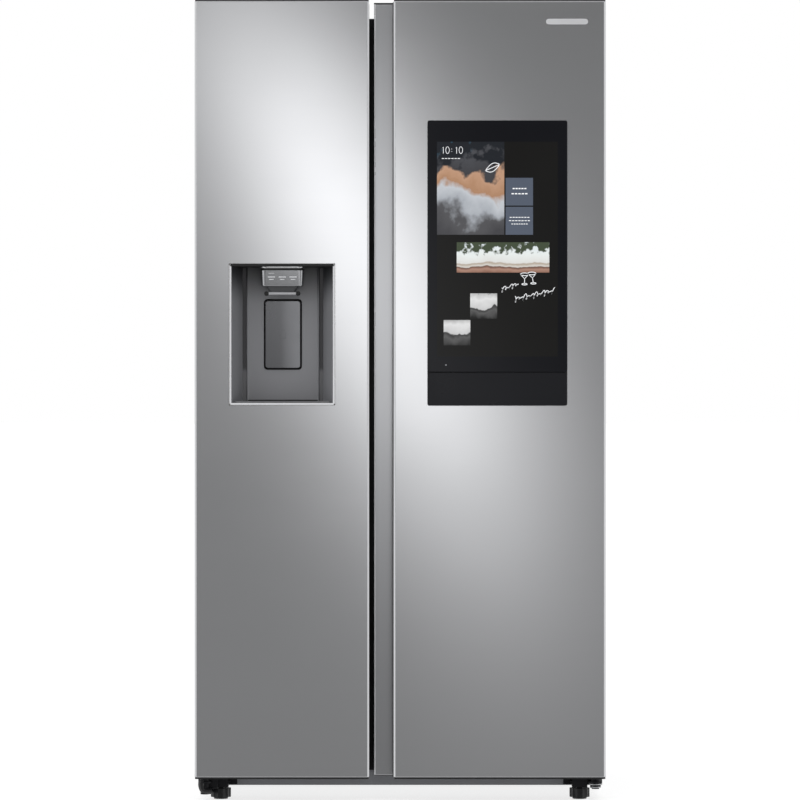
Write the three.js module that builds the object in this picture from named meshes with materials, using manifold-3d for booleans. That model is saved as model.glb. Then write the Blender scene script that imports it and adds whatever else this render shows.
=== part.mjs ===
// A counter-width side by side refrigerator: a foamed cabinet with a freezer room on the left and a
// fridge room on the right, two hinged doors, an ice and water dispenser, a door display, and the
// cooling machinery.
// Millimetres, +Z up, front towards -Y, origin on the floor under the middle of the whole object.

import * as THREE from "three";
import { mergeVertices } from "three/addons/utils/BufferGeometryUtils.js";
import Module from "manifold-3d";

// ---------- driving dimensions ----------

// Overall size
const WIDTH = 911;
const HEIGHT = 1778;
const DEPTH = 860;

const GAP = 0.3; // clearance left between neighbouring pieces
const SHEET = 2; // painted and stainless sheet
const OVER = 1; // how far a cutting tool runs past the surface it cuts

// Depth stations, front to back
const DISPLAY_PROUD = 8;
const REAR_PROUD = 2;
const DOOR_FRONT = -DEPTH / 2 + DISPLAY_PROUD;
const DOOR_DEPTH = 104;
const DOOR_BACK = DOOR_FRONT + DOOR_DEPTH;
const GASKET_DEPTH = 12;
const CABINET_FRONT = DOOR_BACK + GASKET_DEPTH;
const CABINET_BACK = DEPTH / 2 - REAR_PROUD;

// Height stations
const CABINET_BOTTOM = 28;
const PAN_TOP = 46;
const DOOR_BOTTOM = 54;
const KICK_TOP = 96;
const CABINET_TOP = 1746;
const DOOR_TOP = HEIGHT;
const CAP = 2.7; // thickness of the plastic end caps of the doors

// Cabinet
const CABINET_HALF = 453;
const FLANGE = 18; // width of the wrapper's folded front flange
const MACHINE_FRONT = 190; // machine compartment, behind and below the rooms
const MACHINE_TOP = 262;

// Rooms: their clear insides
const FREEZER_ROOM = [-405, -98];
const FRIDGE_ROOM = [-29, 410];
const ROOM_FLOOR = 110;
const ROOM_TOP = 1690;
const ROOM_BACK = 365;
const STEP_FRONT = 145; // the floor rises over the machine compartment
const STEP_TOP = 300;
const LINER = 2.5;
const MULLION = [-94.7, -32.3]; // cover strip between the rooms

// Hinges: each axis stands this far in from the door's outer edge and its back face
const HINGE_INSET = 20;
const HINGE_FROM_BACK = 38;
const HINGE_X = WIDTH / 2 - HINGE_INSET;
const HINGE_Y = DOOR_BACK - HINGE_FROM_BACK;
const PIN_R = 7;
const PIN_BORE_R = 7.8;
const ARM_HALF = 16; // half the top hinge arm's width
const ARM_Z = [CABINET_TOP + GAP, CABINET_TOP + GAP + 4];

// Doors, in their own frames: x from the hinge axis towards the free edge, y from the hinge axis to the back
const DOOR_GAP = 10.7;
const FREEZER_DOOR_WIDTH = 386.5;
const FRIDGE_DOOR_WIDTH = WIDTH - FREEZER_DOOR_WIDTH - DOOR_GAP;
const FRONT_Y = DOOR_FRONT - HINGE_Y;
const LIP = 18; // thickness of the front lip that the fingers pull
const LINER_Y = 30; // where the door's inner liner starts
const DIKE_HEIGHT = 30;
const DIKE_WIDTH = 22;
const DIKE_X = 36; // the dike's edge on the hinge side
const NOTCH = { x: 24, front: -41, z: 1743 }; // room for the top hinge arm as the door swings

// Plan of each door: front face edge, pocket's inner wall, pocket floor and the body's free edge
const FREEZER_PLAN = {
  front: FREEZER_DOOR_WIDTH - HINGE_INSET,
  pocket: 341.5,
  pocketY: -6,
  free: FREEZER_DOOR_WIDTH - HINGE_INSET,
  dikeEnd: 328,
};
const FRIDGE_PLAN = {
  front: 450.2,
  pocket: 423,
  pocketY: -10,
  free: FRIDGE_DOOR_WIDTH - HINGE_INSET,
  dikeEnd: 455,
};

// Gasket ring, in the door's frame
const GASKET = { x: 4, width: 16, fromFree: 8, z: [72, 1728] };

// Dispenser, in its own frame: x from its middle, y back from the door's front face,
// z up from the opening's sill
const DISPENSER_X = 173.75; // its middle, from the freezer hinge axis
const DISPENSER_Z = 879.4;
const DISPENSER_HALF = 117.65;
const DISPENSER_HEIGHT = 314.1;
const BEZEL = 5;
const RECESS = { depth: 70, backHalf: 80, wall: 3 };
const PADDLE = { half: 39.3, z: [82.6, 233], y: [64, 70], pinY: 71.5, pinZ: 229, pocket: 91 };
const DISPENSER_BACK = 94;

// Display, in its own frame: x from its middle, y back from the door's front face, z up from the lower edge
const DISPLAY_X = 220.45; // its middle, from the fridge hinge axis
const DISPLAY_Z = 878.5;
const DISPLAY_HALF = 154.85;
const DISPLAY_HEIGHT = 631.4;
const DISPLAY_SPLIT = 74; // top of the lower cover
const DISPLAY_SINK = 26; // depth of the pocket in the door

// Bins on the doors
const BIN = { x: 60.3, depth: 104, height: 120, wall: 3 };
const BIN_X_END = { freezer: 300, fridge: 430 };
const FREEZER_BIN_Z = [400, 650];
const FRIDGE_BIN_Z = [540, 1100];

// Ice maker and bucket, on the freezer door
const ICE = { x: [62, 300], y: 148, bucketZ: [1222, 1452], makerZ: [1462, 1640] };

// Shelves and drawers
const SHELF_FRONT = -170;
const SHELF_THICK = 8;
const FREEZER_SHELF_Z = [345, 800];
const FRIDGE_SHELF_Z = [740, 1130];
const CRISPER_COVER_Z = 408;
const DRAWER_BACK = 138;
const DRAWER_WALL = 3;
const FREEZER_DRAWER_Z = [116, 325];
const CRISPER_Z = { lower: [116, 252], upper: [262, 398] };
const DRAWER_SIDE_GAP = 5;

// Feet, rollers and machinery
const FOOT = { inset: 34.5, y: 28, stemR: 6, knobR: 23, glideR: 16 };
const ROLLER = { x: 400, y: 380, r: 19, width: 22, pinR: 4, boreR: 4.6 };
const VALVE = { x: -330, z: 150, half: 33 };
const INLET = { x: 330, z: 236, half: 12 };
const FAN = { x: 191, y: 308, z: 150, r: 62 };

const ROUND = 24; // sides of a large round
const SMALL_ROUND = 16; // sides of a small round

// ---------- finishes ----------

const FINISHES = {
  stainless: { color: 0xa9abaf, roughness: 0.35, metalness: 0.9 },
  paintedGrey: { color: 0x5f6164, roughness: 0.5, metalness: 0.3 },
  blackPaint: { color: 0x17181b, roughness: 0.5, metalness: 0.2 },
  galvanised: { color: 0x9a9c9e, roughness: 0.45, metalness: 0.8 },
  foam: { color: 0xe0cf9a, roughness: 0.9, metalness: 0 },
  whitePlastic: { color: 0xf0f1f2, roughness: 0.4, metalness: 0 },
  greyPlastic: { color: 0x6d6e72, roughness: 0.4, metalness: 0.2 },
  silverPlastic: { color: 0xb9bbbe, roughness: 0.3, metalness: 0.5 },
  blackPlastic: { color: 0x16171a, roughness: 0.45, metalness: 0 },
  blackGlass: { color: 0x0d0e10, roughness: 0.08, metalness: 0 },
  rubber: { color: 0x2a2b2e, roughness: 0.7, metalness: 0 },
  glass: { color: 0xd7e6e6, roughness: 0.05, metalness: 0, opacity: 0.4, transparent: true },
  clearPlastic: { color: 0xdfe6ea, roughness: 0.12, metalness: 0, opacity: 0.5, transparent: true },
};

// ---------- solids ----------

const wasm = await Module();
wasm.setup();

// A closed three.js geometry as a solid that can be joined and cut.
function solid(geometry) {
  const bare = new THREE.BufferGeometry();
  bare.setAttribute("position", geometry.getAttribute("position"));
  bare.setIndex(geometry.index);
  const merged = mergeVertices(bare, 1e-4);
  return new wasm.Manifold(
    new wasm.Mesh({
      numProp: 3,
      vertProperties: new Float32Array(merged.attributes.position.array),
      triVerts: new Uint32Array(merged.index.array),
    }),
  );
}

function box([x0, x1], [y0, y1], [z0, z1]) {
  const geometry = new THREE.BoxGeometry(x1 - x0, y1 - y0, z1 - z0);
  return solid(geometry.translate((x0 + x1) / 2, (y0 + y1) / 2, (z0 + z1) / 2));
}

// A round bar along x, y or z. The last two numbers are its middle on the other two axes, in x, y, z order.
function rod(axis, radius, [from, to], [u, v], sides = SMALL_ROUND) {
  const geometry = new THREE.CylinderGeometry(radius, radius, to - from, sides);
  const middle = (from + to) / 2;
  if (axis === "x") geometry.rotateZ(Math.PI / 2).translate(middle, u, v);
  if (axis === "y") geometry.translate(u, middle, v);
  if (axis === "z") geometry.rotateX(Math.PI / 2).translate(u, v, middle);
  return solid(geometry);
}

function extrude(shape, depth) {
  return new THREE.ExtrudeGeometry(shape, { depth, bevelEnabled: false, curveSegments: 4 });
}

// A shape drawn in plan (x, y), standing from z0 to z1.
function slab(shape, [z0, z1]) {
  return solid(extrude(shape, z1 - z0).translate(0, 0, z0));
}

// A shape drawn from the side (y, z), running from x0 to x1.
function profile(shape, [x0, x1]) {
  const turn = new THREE.Matrix4().makeBasis(
    new THREE.Vector3(0, 1, 0),
    new THREE.Vector3(0, 0, 1),
    new THREE.Vector3(1, 0, 0),
  );
  return solid(extrude(shape, x1 - x0).applyMatrix4(turn).translate(x0, 0, 0));
}

// A shape drawn from the front (x, z), reaching from y0 to y1.
function plate(shape, [y0, y1]) {
  return solid(extrude(shape, y1 - y0).rotateX(Math.PI / 2).translate(0, y1, 0));
}

function polygon(points) {
  return new THREE.Shape(points.map(([x, y]) => new THREE.Vector2(x, y)));
}

function roundedRect([x0, x1], [y0, y1], r) {
  const shape = new THREE.Shape();
  shape.absarc(x1 - r, y0 + r, r, -Math.PI / 2, 0);
  shape.absarc(x1 - r, y1 - r, r, 0, Math.PI / 2);
  shape.absarc(x0 + r, y1 - r, r, Math.PI / 2, Math.PI);
  shape.absarc(x0 + r, y0 + r, r, Math.PI, 1.5 * Math.PI);
  return shape;
}

function join(...solids) {
  return solids.reduce((a, b) => a.add(b));
}

// A range of distances from the hinge side, as an x range: side is 1 where the free edge lies
// towards +x, and -1 where it lies towards -x.
function across(side, a, b) {
  return side > 0 ? [a, b] : [-b, -a];
}

// A solid's surface as a three.js geometry.
function surface(made) {
  const mesh = made.getMesh();
  const geometry = new THREE.BufferGeometry();
  geometry.setAttribute("position", new THREE.BufferAttribute(mesh.vertProperties, 3));
  geometry.setIndex(new THREE.BufferAttribute(mesh.triVerts, 1));
  return geometry;
}

function moved(made, offset) {
  return solid(surface(made).translate(...offset));
}

// The same solid for a door whose free edge lies towards +x or, mirrored, towards -x.
function handed(side, made) {
  if (side > 0) return made;
  const geometry = surface(made).scale(-1, 1, 1);
  geometry.index.array.reverse(); // mirroring turned the faces inwards, so their corners are taken backwards
  return solid(geometry);
}

function part(name, made, finish) {
  const geometry = surface(made);
  geometry.computeVertexNormals();
  const node = new THREE.Mesh(geometry, new THREE.MeshStandardMaterial(FINISHES[finish]));
  node.name = name;
  return node;
}

function at(object, x, y, z) {
  object.position.set(x, y, z);
  return object;
}

function group(...children) {
  const made = new THREE.Group();
  made.add(...children);
  return made;
}

// ---------- cabinet ----------

// Side view of a room's inside, grown outwards by some thickness.
function roomShape(grow, front) {
  return polygon([
    [front, ROOM_FLOOR - grow],
    [STEP_FRONT + grow, ROOM_FLOOR - grow],
    [STEP_FRONT + grow, STEP_TOP - grow],
    [ROOM_BACK + grow, STEP_TOP - grow],
    [ROOM_BACK + grow, ROOM_TOP + grow],
    [front, ROOM_TOP + grow],
  ]);
}

function cabinetWrapper() {
  const inner = CABINET_HALF - SHEET;
  const opening = CABINET_HALF - FLANGE;
  return box([-CABINET_HALF, CABINET_HALF], [CABINET_FRONT, CABINET_BACK], [CABINET_BOTTOM, CABINET_TOP])
    .subtract(
      box(
        [-inner, inner],
        [CABINET_FRONT + SHEET, CABINET_BACK + OVER],
        [CABINET_BOTTOM - OVER, CABINET_TOP - SHEET],
      ),
    )
    .subtract(
      box(
        [-opening, opening],
        [CABINET_FRONT - OVER, CABINET_FRONT + SHEET + OVER],
        [CABINET_BOTTOM - OVER, CABINET_TOP - FLANGE],
      ),
    );
}

function insulationBody() {
  const half = CABINET_HALF - SHEET - GAP;
  const grow = LINER + GAP;
  const pocket = ([x0, x1]) => profile(roomShape(grow, CABINET_FRONT), [x0 - grow, x1 + grow]);
  return box(
    [-half, half],
    [CABINET_FRONT + SHEET + GAP, CABINET_BACK - SHEET - GAP],
    [PAN_TOP + GAP, CABINET_TOP - SHEET - GAP],
  )
    .subtract(pocket(FREEZER_ROOM))
    .subtract(pocket(FRIDGE_ROOM))
    .subtract(box([-WIDTH, WIDTH], [MACHINE_FRONT - GAP, DEPTH], [0, MACHINE_TOP + GAP]));
}

// A moulded tub with a front lip that reaches from the wrapper's flange to the mullion cover.
function roomLiner([x0, x1], lip) {
  const tub = profile(roomShape(LINER, CABINET_FRONT), [x0 - LINER, x1 + LINER]);
  const lipPlate = box(
    lip,
    [CABINET_FRONT, CABINET_FRONT + SHEET],
    [KICK_TOP + GAP, CABINET_TOP - FLANGE - GAP],
  );
  return tub.add(lipPlate).subtract(profile(roomShape(0, CABINET_FRONT - OVER), [x0, x1]));
}

function mullionCover() {
  return box(
    MULLION,
    [CABINET_FRONT, CABINET_FRONT + SHEET],
    [KICK_TOP + GAP, CABINET_TOP - FLANGE - GAP],
  );
}

function backPanel() {
  const half = CABINET_HALF - SHEET - GAP;
  const ribs = [-300, -100, 100, 300].map((x) =>
    box([x - 15, x + 15], [CABINET_BACK - OVER, CABINET_BACK + OVER], [420, 1640]),
  );
  return join(
    box([-half, half], [CABINET_BACK - SHEET, CABINET_BACK], [MACHINE_TOP + GAP, CABINET_TOP - SHEET - GAP]),
    ...ribs,
  );
}

function kickPlate() {
  const half = CABINET_HALF - FLANGE - GAP;
  const returnDepth = 50;
  return join(
    box([-half, half], [CABINET_FRONT, CABINET_FRONT + SHEET], [CABINET_BOTTOM, KICK_TOP]),
    box(
      [-half, half],
      [CABINET_FRONT, CABINET_FRONT + returnDepth],
      [CABINET_BOTTOM, CABINET_BOTTOM + SHEET],
    ),
  );
}

// The steel floor of the cabinet, with turned-down sides and a pair of ears and a pin for each rear roller.
function basePan() {
  const half = CABINET_HALF - SHEET - GAP;
  const y = [CABINET_FRONT + SHEET + GAP, CABINET_BACK - SHEET - GAP];
  const side = (s) =>
    box(across(s, half - SHEET, half), [y[0] + 60, y[1]], [CABINET_BOTTOM + SHEET, PAN_TOP]);
  const earInside = ROLLER.width / 2 + 1.5;
  const ear = (x) =>
    box([x - 1.5, x + 1.5], [ROLLER.y - 12, ROLLER.y + 12], [ROLLER.r - 8, PAN_TOP - OVER]);
  const rollerMount = (x) =>
    join(
      ear(x - earInside - 1.5),
      ear(x + earInside + 1.5),
      rod("x", ROLLER.pinR, [x - earInside - 2, x + earInside + 2], [ROLLER.y, ROLLER.r]),
    );
  return join(
    box([-half, half], y, [PAN_TOP - SHEET, PAN_TOP]),
    side(1),
    side(-1),
    rollerMount(-ROLLER.x),
    rollerMount(ROLLER.x),
  );
}

// ---------- hinges, in the frame of the hinge axis ----------

// A bracket on the cabinet's foot: an arm with the door's pin, a back plate, and the boss of the
// levelling foot.
function lowerHinge(side, carriesWater) {
  const reach = CABINET_FRONT - HINGE_Y - GAP;
  const arm = join(
    slab(roundedRect([-15, 15], [-15, reach], 14.9), [37, 41]),
    box([-15, 56], [10, reach], [37, 41]),
    box([-15, 70], [reach - 3, reach], [30, 52]),
  );
  const boss = box([FOOT.inset - 17, FOOT.inset + 17], [FOOT.y - 18, reach], [26, 51]);
  const pin = rod("z", PIN_R, [25, 80], [0, 0]).add(rod("z", 11, [41, 52], [0, 0]));
  const underside = carriesWater
    ? rod("z", 10, [12, 37], [0, 0]).add(rod("y", 7, [0, reach], [0, 20]))
    : rod("z", 12, [29, 35], [0, 0]).add(rod("z", 9.5, [24, 30], [0, 0], 6));
  const stemHole = rod("z", FOOT.stemR + 0.8, [20, 60], [FOOT.inset, FOOT.y]);
  return handed(side, join(arm, boss, pin, underside).subtract(stemHole));
}

function topHinge(side) {
  const base = box([-10, 66], [CABINET_FRONT - HINGE_Y + 8, 130], ARM_Z);
  const bolts = [
    [8, 75],
    [50, 75],
    [50, 115],
  ].map((xy) => rod("z", 6, [ARM_Z[1] - OVER, ARM_Z[1] + 4], xy, 6));
  return handed(
    side,
    join(
      slab(roundedRect([-ARM_HALF, ARM_HALF], [-ARM_HALF, 92], ARM_HALF - 0.1), ARM_Z),
      base,
      ...bolts,
      rod("z", PIN_R, [1720, ARM_Z[1] - OVER], [0, 0]),
    ),
  );
}

// A plastic cap over the hinge: a nose round the arm and a wider body on the cabinet's top.
function hingeCover(side) {
  const z = [ARM_Z[0], HEIGHT - 3];
  const wall = 2.5;
  const outline = (inset, top) =>
    join(
      slab(roundedRect([-20 + inset, 20 - inset], [-20 + inset, 100], 19.9 - inset), top),
      slab(
        roundedRect(
          [-17.3 + inset, 76 - inset],
          [CABINET_FRONT - HINGE_Y + 2 + inset, 142 - inset],
          10 - inset,
        ),
        top,
      ),
    );
  return handed(side, outline(0, z).subtract(outline(wall, [z[0] - OVER, z[1] - wall])));
}

// ---------- doors, in the frame of the hinge axis ----------

// Plan of a door body: a front face with round edges, a finger pocket behind the front lip, and a plain back.
function doorPlan({ front, pocket, pocketY, free }, inset) {
  const corner = 5;
  const r = Math.max(corner - inset, 1);
  const left = -HINGE_INSET + inset;
  const face = FRONT_Y + inset;
  const shape = new THREE.Shape();
  shape.moveTo(left, HINGE_FROM_BACK);
  shape.lineTo(left, face + r);
  shape.absarc(left + r, face + r, r, Math.PI, 1.5 * Math.PI);
  shape.absarc(front - inset - r, face + r, r, 1.5 * Math.PI, 2 * Math.PI);
  shape.lineTo(front - inset, FRONT_Y + LIP - inset);
  shape.lineTo(pocket - inset, FRONT_Y + LIP - inset);
  shape.lineTo(pocket - inset, pocketY + inset);
  shape.lineTo(free - inset, pocketY + inset);
  shape.lineTo(free - inset, HINGE_FROM_BACK);
  return shape;
}

// What every door piece leaves free: the swing room of the top hinge arm and the two pin bores.
function hingeRoom() {
  return join(
    box([-HINGE_INSET - OVER, NOTCH.x], [NOTCH.front, HINGE_FROM_BACK + OVER], [NOTCH.z, DOOR_TOP + OVER]),
    rod("z", PIN_BORE_R, [1715, NOTCH.z + OVER], [0, 0]),
    rod("z", PIN_BORE_R, [DOOR_BOTTOM - OVER, 86], [0, 0]),
  );
}

// The sheet, core and liner stand between the two end caps.
const BETWEEN_CAPS = [DOOR_BOTTOM + CAP + GAP, DOOR_TOP - CAP - GAP];

// The caps' bosses inside the door: the top one lines the hinge's notch and bore, the bottom one
// lines its bore.
function topBoss(grow) {
  const wall = 2.5 + grow;
  return join(
    box(
      [-HINGE_INSET + SHEET + GAP - grow, NOTCH.x + wall],
      [NOTCH.front - wall, LINER_Y - GAP + grow],
      [NOTCH.z - wall, DOOR_TOP],
    ),
    rod("z", 11 + grow, [1712 - grow, NOTCH.z - 1], [0, 0]),
  );
}

function bottomBoss(grow) {
  return rod("z", 11 + grow, [DOOR_BOTTOM, 89 + grow], [0, 0]);
}

function doorTopCap(plan) {
  return slab(doorPlan(plan, 0.6), [DOOR_TOP - CAP, DOOR_TOP]).add(topBoss(0)).subtract(hingeRoom());
}

function doorBottomCap(plan) {
  return slab(doorPlan(plan, 0.6), [DOOR_BOTTOM, DOOR_BOTTOM + CAP]).add(bottomBoss(0)).subtract(hingeRoom());
}

function doorSheet(plan) {
  return slab(doorPlan(plan, 0), BETWEEN_CAPS)
    .subtract(slab(doorPlan(plan, SHEET), [DOOR_BOTTOM, DOOR_TOP]))
    .subtract(box([-WIDTH, WIDTH], [LINER_Y, DEPTH], [0, HEIGHT + OVER]))
    .subtract(hingeRoom());
}

function doorCore(plan) {
  return slab(doorPlan(plan, SHEET + GAP), BETWEEN_CAPS)
    .subtract(box([-WIDTH, WIDTH], [LINER_Y, DEPTH], [0, HEIGHT + OVER]))
    .subtract(topBoss(GAP))
    .subtract(bottomBoss(GAP));
}

// The inner moulding: a back plate and a raised dike, between whose sides the bins hang.
function doorLiner({ free, dikeEnd }) {
  const dikeZ = [130, 1672];
  const ringY = [HINGE_FROM_BACK - OVER, HINGE_FROM_BACK + DIKE_HEIGHT];
  const ring = box([DIKE_X, dikeEnd], ringY, dikeZ).subtract(
    box(
      [DIKE_X + DIKE_WIDTH, dikeEnd - DIKE_WIDTH],
      [HINGE_FROM_BACK, ringY[1] + OVER],
      [dikeZ[0] + DIKE_WIDTH, dikeZ[1] - DIKE_WIDTH],
    ),
  );
  const back = box([-HINGE_INSET, free], [LINER_Y + GAP, HINGE_FROM_BACK], BETWEEN_CAPS);
  return back.add(ring).subtract(hingeRoom());
}

function doorGasket({ free }) {
  const x = [GASKET.x, free - GASKET.fromFree];
  const y = [HINGE_FROM_BACK + GAP, HINGE_FROM_BACK + GASKET_DEPTH - GAP];
  const [z0, z1] = GASKET.z;
  const w = GASKET.width;
  return box(x, y, GASKET.z).subtract(
    box([x[0] + w, x[1] - w], [y[0] - OVER, y[1] + OVER], [z0 + w, z1 - w]),
  );
}

// An open-topped bin with a lower front wall, hung on the door's inner side.
function doorBin(xEnd) {
  const y0 = HINGE_FROM_BACK + GAP;
  const w = BIN.wall;
  const outer = roundedRect([BIN.x, xEnd], [y0, y0 + BIN.depth], 12);
  const inner = roundedRect([BIN.x + w, xEnd - w], [y0 + w, y0 + BIN.depth - w], 9);
  return slab(outer, [0, BIN.height])
    .subtract(slab(inner, [w, BIN.height + OVER]))
    .subtract(
      box(
        [0, xEnd + OVER],
        [y0 + BIN.depth / 2, y0 + BIN.depth + OVER],
        [BIN.height - 35, BIN.height + OVER],
      ),
    );
}

// ---------- dispenser, in its own frame ----------

function recessPlan(grow, front) {
  const half = DISPENSER_HALF - BEZEL + grow;
  const slope = (DISPENSER_HALF - BEZEL - RECESS.backHalf) / RECESS.depth;
  return polygon([
    [-half - slope * -front, front],
    [half + slope * -front, front],
    [RECESS.backHalf + grow, RECESS.depth + grow],
    [-RECESS.backHalf - grow, RECESS.depth + grow],
  ]);
}

function dispenserHousing() {
  const sill = BEZEL;
  const head = DISPENSER_HEIGHT - BEZEL;
  const wall = RECESS.wall;
  const flange = box(
    [-DISPENSER_HALF + GAP, DISPENSER_HALF - GAP],
    [0.1, wall + 2],
    [GAP, DISPENSER_HEIGHT - GAP],
  );
  const tub = slab(recessPlan(wall, 2), [sill - wall, head + wall]);
  const pocketHalf = PADDLE.half + 3.2;
  const pocketZ = [PADDLE.z[0] - 3.5, PADDLE.z[1] + 4];
  const pocketBox = box(
    [-pocketHalf - 6, pocketHalf + 6],
    [RECESS.depth, DISPENSER_BACK],
    [pocketZ[0] - wall, pocketZ[1] + wall],
  );
  const pocket = box([-pocketHalf, pocketHalf], [RECESS.depth - OVER, PADDLE.pocket], pocketZ);
  const pinHole = rod("x", 3.8, [-pocketHalf - 3.5, pocketHalf + 3.5], [PADDLE.pinY, PADDLE.pinZ]);
  return join(flange, tub, pocketBox)
    .subtract(slab(recessPlan(0, -OVER), [sill, head]))
    .subtract(pocket)
    .subtract(pinHole);
}

// Where the dispenser passes through the door: the sheet's window and the core's deeper pocket.
function dispenserWindow() {
  return box([-DISPENSER_HALF, DISPENSER_HALF], [-OVER, 10], [0, DISPENSER_HEIGHT]);
}

function dispenserPocket() {
  return box(
    [-DISPENSER_HALF, DISPENSER_HALF],
    [-OVER, DISPENSER_BACK + GAP],
    [-GAP, DISPENSER_HEIGHT + GAP],
  );
}

function controlPanel() {
  const shape = roundedRect([-45, 45], [8, 58], 14);
  const flange = roundedRect([-49, 49], [6, 60], 16);
  const top = DISPENSER_HEIGHT - BEZEL - GAP;
  return slab(shape, [264, top]).add(slab(flange, [top - 3, top]));
}

function iceChute() {
  const z = [243, 264 - GAP];
  const block = slab(roundedRect([-36, 36], [16, 58], 10), z);
  return block.subtract(slab(roundedRect([-26, 26], [24, 52], 8), [z[0] - OVER, z[1] - 4]));
}

function dispenserPaddle() {
  const { half, y, z, pinY, pinZ } = PADDLE;
  const blade = plate(roundedRect([-half, half], z, 6), y);
  return blade.add(rod("x", 3, [-half - 5.5, half + 5.5], [pinY, pinZ], 12));
}

// A slotted plate that lies on the recess's sill.
function dripGrille() {
  const z = [BEZEL + GAP, BEZEL + 4];
  const sheet = slab(
    polygon([
      [-104, 6],
      [104, 6],
      [77, 67],
      [-77, 67],
    ]),
    z,
  );
  const slots = [-60, -40, -20, 0, 20, 40, 60].map((x) =>
    box([x - 4, x + 4], [16, 56], [z[0] - OVER, z[1] + OVER]),
  );
  return slots.reduce((made, slot) => made.subtract(slot), sheet);
}

function iceBucket() {
  const y = [HINGE_FROM_BACK + GAP, ICE.y];
  const outer = roundedRect(ICE.x, y, 14);
  const inner = roundedRect([ICE.x[0] + 3, ICE.x[1] - 3], [y[0] + 3, y[1] - 3], 11);
  const [z0, z1] = ICE.bucketZ;
  return slab(outer, [z0, z1]).subtract(slab(inner, [z0 + 4, z1 + OVER]));
}

function iceMaker() {
  const y = [HINGE_FROM_BACK + GAP, ICE.y - 6];
  const [z0, z1] = ICE.makerZ;
  const body = slab(roundedRect(ICE.x, y, 12), [z0 + 60, z1]);
  const tray = box([ICE.x[0] + 14, ICE.x[1] - 14], [y[0] + 8, y[1] - 14], [z0, z0 + 62]);
  return body.add(tray);
}

// ---------- display, in its own frame ----------

// A flanged box set into the door, with a raised cover below the glass.
function displayHousing() {
  const h = DISPLAY_HEIGHT;
  const side = 4.2;
  const lower = roundedRect([-DISPLAY_HALF + 1.2, DISPLAY_HALF - 1.2], [0, DISPLAY_SPLIT - 0.6], 4);
  return join(
    plate(roundedRect([-DISPLAY_HALF, DISPLAY_HALF], [0, h], 4), [-3.7, -GAP]),
    box([-DISPLAY_HALF + side, DISPLAY_HALF - side], [-OVER, DISPLAY_SINK - GAP], [side, h - side]),
    plate(lower, [-DISPLAY_PROUD + 1, -3]),
  );
}

function displayPocket() {
  const side = 4.2 - GAP;
  return box(
    [-DISPLAY_HALF + side, DISPLAY_HALF - side],
    [-OVER, DISPLAY_SINK],
    [side, DISPLAY_HEIGHT - side],
  );
}

function displayGlass() {
  const shape = roundedRect([-DISPLAY_HALF, DISPLAY_HALF], [DISPLAY_SPLIT + 0.6, DISPLAY_HEIGHT], 4);
  return plate(shape, [-DISPLAY_PROUD, -4]);
}

// ---------- insides ----------

// A glass shelf in a plastic rim that is a little deeper at the front.
function shelf([x0, x1], front, back) {
  const side = 2;
  const rim = 14;
  return join(
    box([x0 + side, x1 - side], [front, back], [0, SHELF_THICK]),
    box([x0 + side, x1 - side], [front, front + rim], [-8, SHELF_THICK + 2]),
  );
}

// An open-topped drawer with a taller, thicker front and a finger scoop.
function drawer([x0, x1], height) {
  const x = [x0 + DRAWER_SIDE_GAP, x1 - DRAWER_SIDE_GAP];
  const y = [SHELF_FRONT, DRAWER_BACK];
  const w = DRAWER_WALL;
  const tub = box(x, y, [0, height]).subtract(
    box([x[0] + w, x[1] - w], [y[0] + 12, y[1] - w], [w, height + OVER]),
  );
  const middle = (x[0] + x[1]) / 2;
  const scoop = box([middle - 60, middle + 60], [y[0] - OVER, y[0] + 8], [height - 40, height - 12]);
  return tub.subtract(scoop);
}

// The ribbed cover in front of the evaporator, with air slots.
function ductCover() {
  const [x0, x1] = FREEZER_ROOM;
  const cover = box([x0 + 2, x1 - 2], [322, 330], [STEP_TOP + 50, ROOM_TOP - 4]);
  const slots = [420, 560, 900, 1300, 1560].map((z) =>
    box([x0 + 60, x1 - 60], [320, 332], [z, z + 12]),
  );
  return slots.reduce((made, slot) => made.subtract(slot), cover);
}

// A finned coil block with its header tubes.
function evaporator() {
  const x = [-370, -133];
  const z = [470, 800];
  const fins = [];
  for (let fin = z[0] + 15; fin < z[1]; fin += 30) fins.push(box(x, [336, 362], [fin, fin + 8]));
  return join(box([x[0] + 6, x[1] - 6], [344, 354], z), ...fins);
}

// ---------- machinery, behind the rooms ----------

function compressor() {
  const points = [
    [0, 0],
    [70, 0],
    [74, 10],
    [74, 100],
    [66, 128],
    [40, 146],
    [0, 150],
  ].map(([r, z]) => new THREE.Vector2(r, z));
  const dome = solid(new THREE.LatheGeometry(points, ROUND).rotateX(Math.PI / 2));
  const feet = box([-95, 95], [-12, 12], [-14, 2]).add(box([-12, 12], [-85, 85], [-14, 2]));
  const studs = join(
    rod("z", 9, [-22, -13], [-84, 0]),
    rod("z", 9, [-22, -13], [84, 0]),
    rod("z", 9, [-22, -13], [0, -74]),
    rod("z", 9, [-22, -13], [0, 74]),
  );
  return join(dome, feet, studs, rod("z", 5, [140, 175], [30, 0]));
}

// Tube-and-fin block with a fan ring on its left side.
function condenser() {
  const core = box([205, 400], [225, 395], [62, 238]);
  const fins = [];
  for (let x = 215; x < 395; x += 22) fins.push(box([x, x + 8], [220, 400], [58, 242]));
  const ring = box([176, 206], [225, 395], [62, 238]).subtract(
    rod("x", FAN.r + 6, [170, 200], [FAN.y, FAN.z], ROUND),
  );
  const feet = box([180, 400], [230, 250], [PAN_TOP + GAP, 63]).add(
    box([180, 400], [370, 390], [PAN_TOP + GAP, 63]),
  );
  const motorArm = box([168, 177], [FAN.y - 6, FAN.y + 6], [62, FAN.z]);
  const motor = rod("x", 20, [148, FAN.x - 9 - GAP], [FAN.y, FAN.z], SMALL_ROUND);
  return join(core, ...fins, ring, feet, motorArm, motor);
}

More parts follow.
